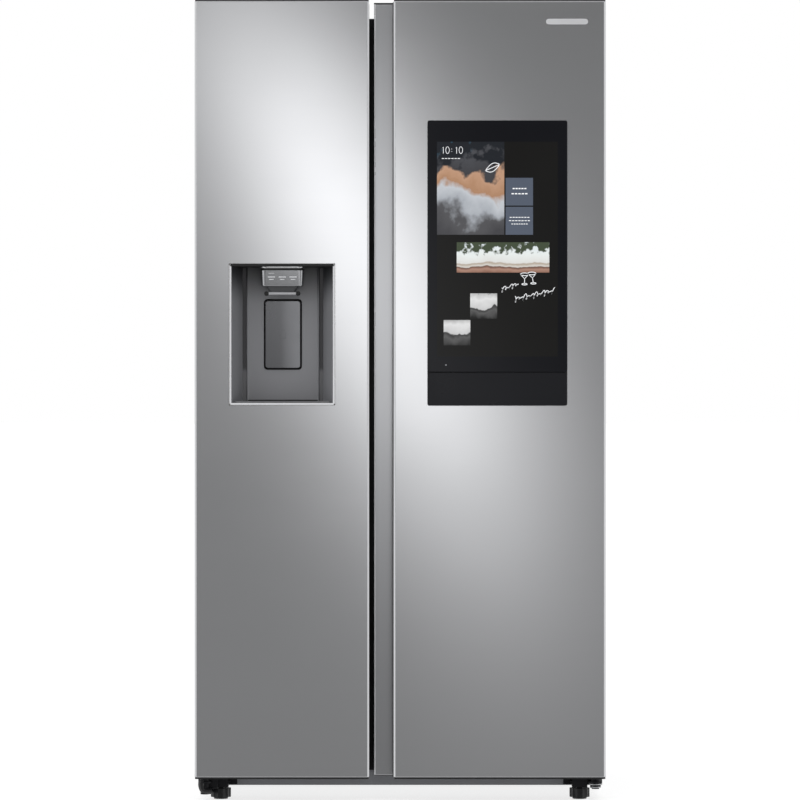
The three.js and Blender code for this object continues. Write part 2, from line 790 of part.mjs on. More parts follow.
// An axial fan with a hub and tilted blades, on the motor's end.
function condenserFan() {
  const blades = [0, 1, 2, 3, 4].map((i) => {
    const blade = new THREE.BoxGeometry(3, 26, FAN.r - 10);
    blade.translate(0, 0, (FAN.r + 10) / 2);
    blade.rotateZ(0.6);
    return solid(blade.rotateX((i * 2 * Math.PI) / 5));
  });
  return join(rod("x", 18, [-9, 9], [0, 0], SMALL_ROUND), ...blades);
}

function machineCover() {
  const half = CABINET_HALF - SHEET - GAP;
  const cover = box([-half, half], [CABINET_BACK - SHEET, CABINET_BACK], [PAN_TOP + GAP, MACHINE_TOP]);
  const slots = [];
  for (let x = -390; x <= 390; x += 60)
    for (const z of [90, 170]) slots.push(box([x - 18, x + 18], [0, DEPTH], [z, z + 40]));
  const room = ({ x, z, half }) =>
    box([x - half - GAP, x + half + GAP], [0, DEPTH], [z - half - GAP, z + half + GAP]);
  return [...slots, room(VALVE), room(INLET)].reduce((made, slot) => made.subtract(slot), cover);
}

// The inlet valve: a solenoid body behind the cover and a threaded port that faces back.
function waterValve() {
  return join(
    box([-26, 26], [-46, -9], [-26, 26]),
    box([-VALVE.half, VALVE.half], [-10, -REAR_PROUD], [-VALVE.half, VALVE.half]),
    rod("y", 13, [-3, 0], [0, 0], ROUND),
  );
}

// A square gland with a round mouth, where the mains lead would enter the machine compartment.
function cordInlet() {
  return join(
    box([-12, 12], [-22, -1.5], [-12, 12]),
    box([-16, 16], [-REAR_PROUD + GAP, 0], [-16, 16]),
  ).subtract(rod("y", 5, [-12, OVER], [0, 0]));
}

// ---------- feet and rollers ----------

// A threaded stem in a ribbed knob that stands on a small glide.
function levellingFoot() {
  const ribs = new THREE.Shape();
  const count = 12;
  for (let i = 0; i < 2 * count; i++) {
    const r = i % 2 ? FOOT.knobR : FOOT.knobR - 2.5;
    const a = (i * Math.PI) / count;
    if (i) ribs.lineTo(r * Math.cos(a), r * Math.sin(a));
    else ribs.moveTo(r, 0);
  }
  return join(
    rod("z", FOOT.glideR, [0, 4.5], [0, 0], ROUND),
    slab(ribs, [4, 24]),
    rod("z", FOOT.stemR, [23, 49], [0, 0]),
  );
}

function roller() {
  const half = ROLLER.width / 2;
  return rod("x", ROLLER.r, [-half, half], [0, 0], ROUND).subtract(
    rod("x", ROLLER.boreR, [-half - OVER, half + OVER], [0, 0]),
  );
}

// ---------- assemblies ----------

function cabinet() {
  const lip = {
    freezer: [-CABINET_HALF + FLANGE + GAP, MULLION[0] - GAP],
    fridge: [MULLION[1] + GAP, CABINET_HALF - FLANGE - GAP],
  };
  const shelves = [];
  FREEZER_SHELF_Z.forEach((z, i) => {
    shelves.push(at(part(`freezer_shelf_${i + 1}`, shelf(FREEZER_ROOM, SHELF_FRONT, 318), "glass"), 0, 0, z));
  });
  FRIDGE_SHELF_Z.forEach((z, i) => {
    shelves.push(at(part(`fridge_shelf_${i + 1}`, shelf(FRIDGE_ROOM, SHELF_FRONT, 350), "glass"), 0, 0, z));
  });
  const crisperCover = shelf(FRIDGE_ROOM, SHELF_FRONT, 350);
  return group(
    part("cabinet_wrapper", cabinetWrapper(), "paintedGrey"),
    part("mullion_cover", mullionCover(), "blackPaint"),
    part("insulation_body", insulationBody(), "foam"),
    part("back_panel", backPanel(), "galvanised"),
    part("freezer_liner", roomLiner(FREEZER_ROOM, lip.freezer), "whitePlastic"),
    part("fridge_liner", roomLiner(FRIDGE_ROOM, lip.fridge), "whitePlastic"),
    part("kick_plate", kickPlate(), "paintedGrey"),
    part("base_pan", basePan(), "galvanised"),
    part("machine_cover", machineCover(), "galvanised"),
    part("freezer_duct_cover", ductCover(), "whitePlastic"),
    part("evaporator", evaporator(), "galvanised"),
    part("condenser", condenser(), "galvanised"),
    at(part("compressor", compressor(), "blackPaint"), -60, 308, PAN_TOP + GAP + 22),
    at(part("condenser_fan", condenserFan(), "blackPlastic"), FAN.x, FAN.y, FAN.z),
    at(part("water_valve", waterValve(), "whitePlastic"), VALVE.x, DEPTH / 2, VALVE.z),
    at(part("cord_inlet", cordInlet(), "blackPlastic"), INLET.x, DEPTH / 2, INLET.z),
    at(part("crisper_cover", crisperCover, "glass"), 0, 0, CRISPER_COVER_Z),
    ...shelves,
  );
}

function hingeSet(name, side) {
  return at(
    group(
      part(`${name}_top_hinge`, topHinge(side), "galvanised"),
      part(`${name}_hinge_cover`, hingeCover(side), "greyPlastic"),
      part(`${name}_lower_hinge`, lowerHinge(side, name === "freezer"), "blackPaint"),
      at(part(`${name}_levelling_foot`, levellingFoot(), "blackPlastic"), side * FOOT.inset, FOOT.y, 0),
    ),
    -side * HINGE_X,
    HINGE_Y,
    0,
  );
}

function drawers() {
  const make = (name, room, [z0, z1], finish) => at(part(name, drawer(room, z1 - z0), finish), 0, 0, z0);
  return group(
    make("freezer_drawer", FREEZER_ROOM, FREEZER_DRAWER_Z, "clearPlastic"),
    make("crisper_lower", FRIDGE_ROOM, CRISPER_Z.lower, "clearPlastic"),
    make("crisper_upper", FRIDGE_ROOM, CRISPER_Z.upper, "clearPlastic"),
  );
}

function rollers() {
  return group(
    at(part("roller_left", roller(), "blackPlastic"), -ROLLER.x, ROLLER.y, ROLLER.r),
    at(part("roller_right", roller(), "blackPlastic"), ROLLER.x, ROLLER.y, ROLLER.r),
  );
}

function dispenser() {
  return at(
    group(
      part("dispenser_housing", dispenserHousing(), "greyPlastic"),
      part("dispenser_panel", controlPanel(), "silverPlastic"),
      part("ice_chute", iceChute(), "blackPlastic"),
      part("dispenser_paddle", dispenserPaddle(), "greyPlastic"),
      part("drip_grille", dripGrille(), "blackPlastic"),
    ),
    DISPENSER_X,
    FRONT_Y,
    DISPENSER_Z,
  );
}

function freezerDoor() {
  const move = [DISPENSER_X, FRONT_Y, DISPENSER_Z];
  const sheet = doorSheet(FREEZER_PLAN).subtract(moved(dispenserWindow(), move));
  const core = doorCore(FREEZER_PLAN).subtract(moved(dispenserPocket(), move));
  const bins = FREEZER_BIN_Z.map((z, i) =>
    at(part(`freezer_bin_${i + 1}`, doorBin(BIN_X_END.freezer), "clearPlastic"), 0, 0, z),
  );
  return at(
    group(
      part("freezer_door_skin", sheet, "stainless"),
      part("freezer_door_core", core, "foam"),
      part("freezer_door_liner", doorLiner(FREEZER_PLAN), "whitePlastic"),
      part("freezer_door_top_cap", doorTopCap(FREEZER_PLAN), "greyPlastic"),
      part("freezer_door_bottom_cap", doorBottomCap(FREEZER_PLAN), "blackPlastic"),
      part("freezer_gasket", doorGasket(FREEZER_PLAN), "rubber"),
      part("ice_maker", iceMaker(), "whitePlastic"),
      part("ice_bucket", iceBucket(), "clearPlastic"),
      ...bins,
      dispenser(),
    ),
    -HINGE_X,
    HINGE_Y,
    0,
  );
}

// The fridge door is built towards +x like the freezer door and then mirrored. Its display is placed
// afterwards.
function fridgeDoor() {
  const move = [DISPLAY_X, FRONT_Y, DISPLAY_Z];
  const whole = doorSheet(FRIDGE_PLAN);
  const pocketSide = box(
    [FRIDGE_PLAN.pocket - SHEET - OVER, WIDTH],
    [FRONT_Y + LIP + GAP, DEPTH],
    [0, HEIGHT + OVER],
  );
  const strip = whole.intersect(pocketSide);
  const clear = box([FRIDGE_PLAN.pocket - SHEET - OVER, WIDTH], [FRONT_Y + LIP, DEPTH], [0, HEIGHT + OVER]);
  const skin = whole.subtract(clear).subtract(moved(displayPocket(), move));
  const core = doorCore(FRIDGE_PLAN).subtract(moved(displayPocket(), move));
  const bins = FRIDGE_BIN_Z.map((z, i) =>
    at(part(`fridge_bin_${i + 1}`, handed(-1, doorBin(BIN_X_END.fridge)), "clearPlastic"), 0, 0, z),
  );
  const display = group(
    part("display_housing", displayHousing(), "blackPlastic"),
    part("display_glass", displayGlass(), "blackGlass"),
  );
  return at(
    group(
      part("fridge_door_skin", handed(-1, skin), "stainless"),
      part("handle_strip", handed(-1, strip), "stainless"),
      part("fridge_door_core", handed(-1, core), "foam"),
      part("fridge_door_liner", handed(-1, doorLiner(FRIDGE_PLAN)), "whitePlastic"),
      part("fridge_door_top_cap", handed(-1, doorTopCap(FRIDGE_PLAN)), "greyPlastic"),
      part("fridge_door_bottom_cap", handed(-1, doorBottomCap(FRIDGE_PLAN)), "blackPlastic"),
      part("fridge_gasket", handed(-1, doorGasket(FRIDGE_PLAN)), "rubber"),
      ...bins,
      at(display, -DISPLAY_X, FRONT_Y, DISPLAY_Z),
    ),
    HINGE_X,
    HINGE_Y,
    0,
  );
}

const refrigerator = group(
  cabinet(),
  hingeSet("freezer", 1),
  hingeSet("fridge", -1),
  drawers(),
  rollers(),
  freezerDoor(),
  fridgeDoor(),
);

export default refrigerator;
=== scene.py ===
"""Looks of the side by side refrigerator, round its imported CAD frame. Metres, +Z up, front towards -Y."""

import math

import bmesh
import bpy
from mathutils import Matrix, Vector


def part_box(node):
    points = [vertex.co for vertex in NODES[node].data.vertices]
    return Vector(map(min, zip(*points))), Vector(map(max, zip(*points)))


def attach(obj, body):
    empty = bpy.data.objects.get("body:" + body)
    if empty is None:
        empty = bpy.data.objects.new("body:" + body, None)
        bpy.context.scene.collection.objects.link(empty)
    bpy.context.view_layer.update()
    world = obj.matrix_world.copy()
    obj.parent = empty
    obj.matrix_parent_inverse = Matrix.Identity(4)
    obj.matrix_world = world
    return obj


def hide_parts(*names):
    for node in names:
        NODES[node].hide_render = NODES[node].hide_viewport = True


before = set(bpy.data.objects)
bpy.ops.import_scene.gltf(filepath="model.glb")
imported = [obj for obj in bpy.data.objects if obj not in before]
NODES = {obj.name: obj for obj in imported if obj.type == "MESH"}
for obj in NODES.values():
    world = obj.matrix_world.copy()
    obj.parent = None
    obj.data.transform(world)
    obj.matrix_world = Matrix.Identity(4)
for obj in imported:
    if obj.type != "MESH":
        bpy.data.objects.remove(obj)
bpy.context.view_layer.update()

MM = 0.001
DOOR_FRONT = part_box("freezer_door_skin")[0].y
EYE_HEIGHT = 0.8911  # the camera's height
EYE_DISTANCE = 9.5  # from the doors' front face
LENS = 193  # millimetres, on a sensor 36 mm wide
BELL = 2.718  # base of the bell curves


# ---------- materials ----------


class Finish:
    """One node material round a Principled shader, with its textures in the object's own metres."""

    def __init__(self, name, **settings):
        self.material = bpy.data.materials.new(name)
        self.material.use_nodes = True
        self.tree = self.material.node_tree
        self.tree.nodes.clear()
        self.shader = self.node("ShaderNodeBsdfPrincipled")
        out = self.node("ShaderNodeOutputMaterial")
        self.link(self.shader.outputs["BSDF"], out.inputs["Surface"])
        self.coords = self.node("ShaderNodeTexCoord").outputs["Object"]
        self.set(**settings)

    def node(self, kind, **values):
        made = self.tree.nodes.new(kind)
        for key, value in values.items():
            setattr(made, key, value)
        return made

    def link(self, a, b):
        self.tree.links.new(a, b)

    def set(self, **settings):
        for key, value in settings.items():
            self.shader.inputs[key.replace("_", " ")].default_value = value

    def feed(self, value, socket):
        if isinstance(value, bpy.types.NodeSocket):
            self.link(value, socket)
        else:
            socket.default_value = value

    def stretched(self, scale):
        mapping = self.node("ShaderNodeMapping")
        mapping.inputs["Scale"].default_value = scale
        self.link(self.coords, mapping.inputs["Vector"])
        return mapping.outputs["Vector"]

    def noise(self, scale, detail=3.0, stretch=(1, 1, 1)):
        made = self.node("ShaderNodeTexNoise")
        self.link(self.stretched(stretch), made.inputs["Vector"])
        made.inputs["Scale"].default_value = scale
        made.inputs["Detail"].default_value = detail
        return made.outputs["Fac"]

    def cells(self, scale):
        """A flat random colour for each cell."""
        made = self.node("ShaderNodeTexVoronoi")
        self.link(self.coords, made.inputs["Vector"])
        made.inputs["Scale"].default_value = scale
        return made.outputs["Color"]

    def axis(self, name):
        made = self.node("ShaderNodeSeparateXYZ")
        self.link(self.coords, made.inputs["Vector"])
        return made.outputs[name]

    def math(self, operation, a, b=0.0):
        made = self.node("ShaderNodeMath", operation=operation)
        for socket, value in zip(made.inputs, (a, b)):
            self.feed(value, socket)
        return made.outputs[0]

    def span(self, value, low, high, to_low=0.0, to_high=1.0, smooth=False):
        kind = "SMOOTHSTEP" if smooth else "LINEAR"
        made = self.node("ShaderNodeMapRange", interpolation_type=kind, clamp=True)
        for socket, number in zip(made.inputs, (value, low, high, to_low, to_high)):
            self.feed(number, socket)
        return made.outputs[0]

    def ramp(self, fac, stops):
        made = self.node("ShaderNodeValToRGB")
        elements = made.color_ramp.elements
        while len(elements) < len(stops):
            elements.new(0.5)
        for element, (place, colour) in zip(elements, stops):
            element.position = place
            element.color = (*colour, 1)
        self.feed(fac, made.inputs["Fac"])
        return made.outputs["Color"]

    def mix(self, fac, a, b):
        made = self.node("ShaderNodeMix", data_type="RGBA")
        self.feed(fac, made.inputs[0])
        for socket, value in ((made.inputs[6], a), (made.inputs[7], b)):
            self.feed(value if isinstance(value, bpy.types.NodeSocket) else (*value, 1), socket)
        return made.outputs[2]

    def colour(self, value):
        self.feed(value, self.shader.inputs["Base Color"])

    def rough(self, value):
        self.feed(value, self.shader.inputs["Roughness"])

    def bump(self, height, strength, distance):
        made = self.node("ShaderNodeBump")
        made.inputs["Strength"].default_value = strength
        made.inputs["Distance"].default_value = distance
        self.link(height, made.inputs["Height"])
        self.link(made.outputs["Normal"], self.shader.inputs["Normal"])


def shade(colour, factor):
    return tuple(min(1.0, c * factor) for c in colour)


def brushed(name, colour=(0.60, 0.605, 0.62), rough=0.22, grain=(4, 4, 1500), depth=0.008):
    """Brushed steel: long fine scratches, a slow drift of tone and a faint cloudiness of the coat."""
    f = Finish(name, Metallic=1.0)
    streaks = f.noise(1.0, 4.0, grain)
    drift = f.noise(3.0, 2.0)
    f.colour(f.mix(streaks, shade(colour, 0.97), shade(colour, 1.03)))
    cloud = f.span(drift, 0.3, 0.7, rough - 0.015, rough + 0.015)
    f.rough(f.math("ADD", cloud, f.span(streaks, 0.3, 0.7, -0.01, 0.015)))
    f.bump(streaks, depth, 0.0002)
    return f.material


def paint(name, colour, rough=0.45, peel=700, strength=0.12, metallic=0.0, **more):
    """Painted sheet: orange peel in the surface and a slight unevenness in gloss."""
    f = Finish(name, Metallic=metallic, **more)
    grain = f.noise(peel, 2.0)
    drift = f.noise(5.0, 3.0)
    f.colour(f.mix(drift, shade(colour, 0.94), shade(colour, 1.05)))
    f.rough(f.span(drift, 0.3, 0.7, rough - 0.05, rough + 0.06))
    f.bump(grain, strength, 0.0004)
    return f.material


def moulded(name, colour, rough=0.4, grain=1500, strength=0.1, **more):
    """Moulded plastic: fine spark-eroded grain, and a hint of handling in the gloss."""
    f = Finish(name, **more)
    fine = f.noise(grain, 1.5)
    drift = f.noise(9.0, 3.0)
    f.colour(f.mix(drift, shade(colour, 0.95), shade(colour, 1.04)))
    f.rough(f.span(drift, 0.3, 0.7, rough - 0.05, rough + 0.05))
    f.bump(fine, strength, 0.0002)
    return f.material


def zinc(name, colour=(0.56, 0.57, 0.58), rough=0.42):
    """Galvanised sheet, with its spangle of flat crystals."""
    f = Finish(name, Metallic=0.9)
    crystal = f.cells(90)
    grey = f.node("ShaderNodeRGBToBW")
    f.link(crystal, grey.inputs[0])
    f.colour(f.mix(grey.outputs[0], shade(colour, 0.88), shade(colour, 1.08)))
    f.rough(f.span(grey.outputs[0], 0, 1, rough - 0.07, rough + 0.09))
    f.bump(f.noise(60, 3.0), 0.05, 0.0005)
    return f.material


def clear(name, tint, alpha, rough=0.08):
    """A clear moulding or pane, seen through by its alpha, with slight ripples."""
    f = Finish(name, Alpha=alpha, IOR=1.5)
    ripple = f.noise(14, 2.0)
    f.colour(f.mix(ripple, shade(tint, 0.95), shade(tint, 1.03)))
    f.rough(f.span(ripple, 0.3, 0.7, rough, rough + 0.05))
    f.bump(ripple, 0.03, 0.002)
    return f.material


STEEL = brushed("brushed_door_steel")
STRIP_STEEL = brushed("brushed_strip_steel", (0.47, 0.475, 0.49), 0.3)
CABINET_PAINT = paint("cabinet_paint", (0.20, 0.205, 0.215), 0.42, 900, 0.2, 0.35)
BASE_PAINT = paint("base_panel_paint", (0.18, 0.185, 0.198), 0.4, 900, 0.1, 0.2)
BLACK_PAINT = paint("black_powder_coat", (0.007, 0.007, 0.009), 0.42, 1200, 0.15, Specular_IOR_Level=0.2)
CAST_BLACK = paint("compressor_enamel", (0.015, 0.015, 0.016), 0.3, 120, 0.15)
ZINC = zinc("galvanised_sheet")
WHITE = moulded("white_liner", (0.80, 0.81, 0.82), 0.34, 60, 0.01)
DOOR_WHITE = moulded("door_liner_white", (0.76, 0.77, 0.78), 0.34, 60, 0.01)
GREY = moulded("grey_moulding", (0.115, 0.118, 0.126), 0.42)
PADDLE_GREY = moulded("paddle_grey", (0.150, 0.152, 0.160), 0.25, 900, 0.02, Metallic=1.0)
PANEL_SATIN = brushed("panel_satin", (0.43, 0.435, 0.45), 0.24, (60, 60, 60), 0.004)
FRAME_SATIN = brushed("frame_satin", (0.66, 0.665, 0.68), 0.27, (60, 60, 60), 0.004)
# Deep black for the real black mouldings, and also painted shade: dark plates set where there is only shadow.
BLACK_AND_PAINTED_SHADE = moulded("deep_black", (0.004, 0.004, 0.0045), 0.6)
GLASS = moulded("black_cover_glass", (0.0058, 0.0061, 0.0078), 0.12, 40, 0.004, Specular_IOR_Level=0.12)
SCREEN = moulded("switched_on_screen", (0.0090, 0.0088, 0.0085), 0.16, 40, 0.004, Specular_IOR_Level=0.1)
COVER = moulded("lower_cover_black", (0.0070, 0.0073, 0.0092), 0.3, 500, 0.02, Specular_IOR_Level=0.15)
INK = moulded("white_marks", (0.82, 0.83, 0.85), 0.5)
PANEL_INK = moulded("panel_marks_grey", (0.55, 0.56, 0.58), 0.5)
FAINT_INK = moulded("grey_marks", (0.42, 0.43, 0.45), 0.5)
GRILLE_GREY = moulded("grille_grey", (0.105, 0.106, 0.112), 0.45, 700, 0.05)
GLOSS_BLACK = moulded("glossy_black", (0.012, 0.012, 0.013), 0.16)
CAP_GREY = moulded("dark_cap", (0.022, 0.022, 0.025), 0.45)
BLACK = moulded("black_moulding", (0.009, 0.009, 0.010), 0.42, Specular_IOR_Level=0.25)
RIBBED_BLACK = moulded("foot_black", (0.009, 0.009, 0.010), 0.35, 700, 0.1, Specular_IOR_Level=0.3)
FOAM = paint("insulating_foam", (0.70, 0.55, 0.26), 0.9, 260, 0.6)
RUBBER = moulded("seal_rubber", (0.10, 0.10, 0.105), 0.62, 900, 0.15)
PANE = clear("shelf_pane", (0.80, 0.92, 0.90), 0.28, 0.03)
CLEAR = clear("clear_moulding", (0.86, 0.89, 0.91), 0.36)
RIM = moulded("rim_grey", (0.52, 0.53, 0.55), 0.35, 90, 0.01)
# Painted highlight: a lighter silver for the bright line along the handle strip's edge.
STRIP_HIGHLIGHT_BEAD = moulded("strip_painted_highlight_silver", (0.62, 0.625, 0.64), 0.3, 90, 0.01, Metallic=0.35)
PLATE_SATIN = moulded("nameplate_satin", (0.58, 0.585, 0.60), 0.32, 90, 0.01, Metallic=0.4)


# ---------- pieces ----------


def place(obj, body, material, slot):
    """Gives a piece its material and its CAD body; its slot is not used."""
    obj.data.materials.clear()
    obj.data.materials.append(material)
    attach(obj, body)
    return obj


def add_object(name, data):
    obj = bpy.data.objects.new(name, data)
    bpy.context.scene.collection.objects.link(obj)
    return obj


def mesh_object(name, bm):
    bmesh.ops.recalc_face_normals(bm, faces=bm.faces[:])
    data = bpy.data.meshes.new(name)
    bm.to_mesh(data)
    bm.free()
    return add_object(name, data)


def soften(obj, width, segments=2, angle=35):
    """Rounds the sharp edges by a width in millimetres and smooths the rest."""
    obj.data.shade_smooth()
    bevel = obj.modifiers.new("edges", "BEVEL")
    bevel.width = width * MM
    bevel.segments = segments
    bevel.limit_method = "ANGLE"
    bevel.angle_limit = math.radians(angle)
    bevel.miter_outer = "MITER_ARC"
    return weigh_normals(obj)


def weigh_normals(obj):
    """Large flat faces keep their own normals, so that reflections in them stay straight."""
    weighted = obj.modifiers.new("normals", "WEIGHTED_NORMAL")
    weighted.weight = 100
    weighted.keep_sharp = True
    return obj


def smooth_by_angle(obj, angle=32):
    obj.data.shade_smooth()
    obj.data.set_sharp_from_angle(angle=math.radians(angle))
    return weigh_normals(obj)


def bake_down(obj):
    """Applies the modifiers, so that the piece is its final mesh."""
    graph = bpy.context.evaluated_depsgraph_get()
    graph.update()
    made = bpy.data.meshes.new_from_object(obj.evaluated_get(graph))
    obj.modifiers.clear()
    old = obj.data
    obj.data = made
    bpy.data.meshes.remove(old)
    return obj


def cut(obj, cutter):
    """Takes the cutter's solid out of a piece, and removes the cutter."""
    boolean = obj.modifiers.new("cut", "BOOLEAN")
    boolean.operation = "DIFFERENCE"
    boolean.solver = "EXACT"
    boolean.object = cutter
    bpy.context.view_layer.update()
    bake_down(obj)
    bpy.data.objects.remove(cutter)
    return obj


def rounded(u0, u1, v0, v1, r, steps=6):
    """Points of a rectangle with round corners, anticlockwise."""
    r = max(r, 1e-6)
    points = []
    for (cu, cv), start in (
        ((u1 - r, v0 + r), -90),
        ((u1 - r, v1 - r), 0),
        ((u0 + r, v1 - r), 90),
        ((u0 + r, v0 + r), 180),
    ):
        for i in range(steps + 1):
            a = math.radians(start + 90 * i / steps)
            points.append((cu + r * math.cos(a), cv + r * math.sin(a)))
    return points


def join_rings(bm, pairs):
    """Faces between pairs of rings that have equal numbers of points."""
    for a, b in pairs:
        for i in range(len(a)):
            j = (i + 1) % len(a)
            bm.faces.new((a[i], a[j], b[j], b[i]))


def loft(name, rings):
    """A solid through rings of equal numbers of 3-D points."""
    bm = bmesh.new()
    made = [[bm.verts.new(p) for p in ring] for ring in rings]
    join_rings(bm, zip(made, made[1:]))
    bm.faces.new(made[0][::-1])
    bm.faces.new(made[-1])
    return mesh_object(name, bm)


def ring_loft(name, rings):
    """A closed ring-shaped surface: the last ring of points joins the first again."""
    bm = bmesh.new()
    made = [[bm.verts.new(p) for p in ring] for ring in rings]
    join_rings(bm, zip(made, made[1:] + made[:1]))
    return mesh_object(name, bm)


def prism(name, plan, z):
    """A solid of constant plan, from z[0] to z[1]."""
    return loft(name, [[(x, y, h) for x, y in plan] for h in z])


def eased(corners, steps=5):
    """A closed outline whose corners (x, y, reach) are rounded, starting reach away from each corner."""
    points = []
    for i, (x, y, reach) in enumerate(corners):
        if not reach:
            points.append((x, y))
            continue
        corner = Vector((x, y))
        before = (Vector(corners[i - 1][:2]) - corner).normalized() * reach
        after = (Vector(corners[(i + 1) % len(corners)][:2]) - corner).normalized() * reach
        for k in range(steps + 1):
            t = k / steps
            points.append(tuple(corner + before * (1 - t) ** 2 + after * t ** 2))
    return points


def curved_plate(name, x, z, back, r, edge, front, columns=28):
    """A front-facing plate with round corners and edges, whose face follows y = front(x)."""
    rings = []
    for k in range(5):
        turn = math.radians(90 * k / 4)
        inset, sink = edge * (1 - math.sin(turn)), edge * (1 - math.cos(turn))
        half, middle = (x[1] - x[0]) / 2 - inset, (x[0] + x[1]) / 2
        radius = r - inset
        top, bottom = [], []
        for i in range(columns + 1):
            u = -math.cos(math.pi * i / columns) * half
            over = max(abs(u) - half + radius, 0)
            drop = radius - math.sqrt(max(radius**2 - over**2, 0))
            y = front(middle + u) + sink
            top.append((middle + u, y, z[1] - inset - drop))
            bottom.append((middle + u, y, z[0] + inset + drop))
        rings.append(top + bottom[::-1])
    rings.append([(u, back, v) for u, _, v in rings[-1]])
    bm = bmesh.new()
    made = [[bm.verts.new(p) for p in ring] for ring in rings]
    count = len(rings[0])
    join_rings(bm, zip(made, made[1:]))
    for i in range(columns):
        j = count - 1 - i
        bm.faces.new((made[0][i], made[0][i + 1], made[0][j - 1], made[0][j]))
        bm.faces.new((made[-1][i], made[-1][j], made[-1][j - 1], made[-1][i + 1]))
    bmesh.ops.remove_doubles(bm, verts=bm.verts[:], dist=1e-6)
    return smooth_by_angle(mesh_object(name, bm), 40)


def front_plate(name, x, z, y, r, edge=0.0, steps=6):
    """A plate that faces front: x and z are its extents, y its front and back, and its front edge is rounded."""
    rings = []
    count = 4 if edge else 0
    for i in range(count + 1):
        a = math.radians(90 * i / max(count, 1))
        inset = edge * (1 - math.sin(a)) if edge else 0
        depth = y[0] + edge * (1 - math.cos(a)) if edge else y[0]
        ring = rounded(x[0] + inset, x[1] - inset, z[0] + inset, z[1] - inset, max(r - inset, 1e-5), steps)
        rings.append([(u, depth, v) for u, v in ring])
    rings.append([(u, y[1], v) for u, v in rounded(*x, *z, r, steps)])
    return smooth_by_angle(loft(name, rings))


def blocks(name, boxes, width=0.6, segments=2):
    """Bars and tabs as one piece, each given by its low and high corner."""
    bm = bmesh.new()
    for low, high in boxes:
        corners = [
            bm.verts.new((x, y, z))
            for x in (low[0], high[0])
            for y in (low[1], high[1])
            for z in (low[2], high[2])
        ]
        for quad in ((0, 1, 3, 2), (4, 6, 7, 5), (0, 4, 5, 1), (2, 3, 7, 6), (0, 2, 6, 4), (1, 5, 7, 3)):
            bm.faces.new([corners[i] for i in quad])
    return soften(mesh_object(name, bm), width, segments)


def cutting_block(name, low, high):
    """A plain block to cut with."""
    cutter = blocks(name, [(low, high)])
    cutter.modifiers.clear()
    return cutter


def turned(name, profile, centre, axis, sides):
    """A turned shape: profile is (radius, distance along the axis) in millimetres, from radius 0 to radius 0."""
    turn = {
        "x": lambda u, v, w: (w, u, v), "y": lambda u, v, w: (u, w, v), "z": lambda u, v, w: (u, v, w)
    }[axis]
    bm = bmesh.new()
    rings = []
    for r, h in profile:
        r, h = r * MM, h * MM
        angles = [2 * math.pi * i / sides for i in range(sides)] if r else [0]
        points = [Vector(turn(r * math.cos(a), r * math.sin(a), h)) for a in angles]
        rings.append([bm.verts.new(Vector(centre) + point) for point in points])
    for a, b in zip(rings, rings[1:]):
        for i in range(sides):
            j = (i + 1) % sides
            quad = [a[i % len(a)], a[j % len(a)], b[j % len(b)], b[i % len(b)]]
            unique = list(dict.fromkeys(quad))
            if len(unique) > 2:
                bm.faces.new(unique)
    return smooth_by_angle(mesh_object(name, bm))


def tube(name, points, radius, sides=12):
    """A round tube through points, as a mesh."""
    curve = bpy.data.curves.new(name + "_line", "CURVE")
    curve.dimensions = "3D"
    curve.bevel_depth = radius
    curve.bevel_resolution = sides // 4
    curve.use_fill_caps = True
    spline = curve.splines.new("BEZIER")
    spline.bezier_points.add(len(points) - 1)
    for point, co in zip(spline.bezier_points, points):
        point.co = co
        point.handle_left_type = point.handle_right_type = "AUTO"
    spline.resolution_u = 8
    obj = add_object(name + "_line", curve)
    bpy.context.view_layer.update()
    graph = bpy.context.evaluated_depsgraph_get()
    data = bpy.data.meshes.new_from_object(obj.evaluated_get(graph))
    data.name = name
    bpy.data.objects.remove(obj)
    return smooth_by_angle(add_object(name, data), 50)


def dress(names, material, width=0.6, segments=2):
    """Keeps CAD nodes as they are, rounds their edges with modifiers and gives them a finish."""
    for name in names.split():
        node = NODES[name]
        node.data.materials.clear()
        node.data.materials.append(material)
        if "custom_normal" in node.data.attributes:
            node.data.attributes.remove(node.data.attributes["custom_normal"])
        node.data.shade_smooth()
        weld = node.modifiers.new("weld", "WELD")
        weld.merge_threshold = 0.01 * MM
        soften(node, width, segments)


# ---------- camera, floor and light ----------


def make_camera():
    data = bpy.data.cameras.new("camera")
    data.lens = LENS
    data.sensor_width = 36
    data.clip_end = 200
    camera = add_object("camera", data)
    camera.location = (-0.0005, DOOR_FRONT - EYE_DISTANCE, EYE_HEIGHT)
    camera.rotation_euler = (math.radians(90), 0, 0)
    bpy.context.scene.camera = camera


def make_floor():
    bm = bmesh.new()
    bmesh.ops.create_grid(bm, x_segments=8, y_segments=8, size=150)
    floor = mesh_object("floor", bm)
    f = Finish(
        "pale_floor",
        Roughness=0.9,
        Specular_IOR_Level=0.1,
        Emission_Color=(1, 1, 1, 1),
        Emission_Strength=FLOOR_GLOW,
    )
    f.colour(f.mix(f.noise(0.7, 3.0), (0.28, 0.28, 0.28), (0.31, 0.31, 0.31)))
    floor.data.materials.append(f.material)
    floor.visible_glossy = False


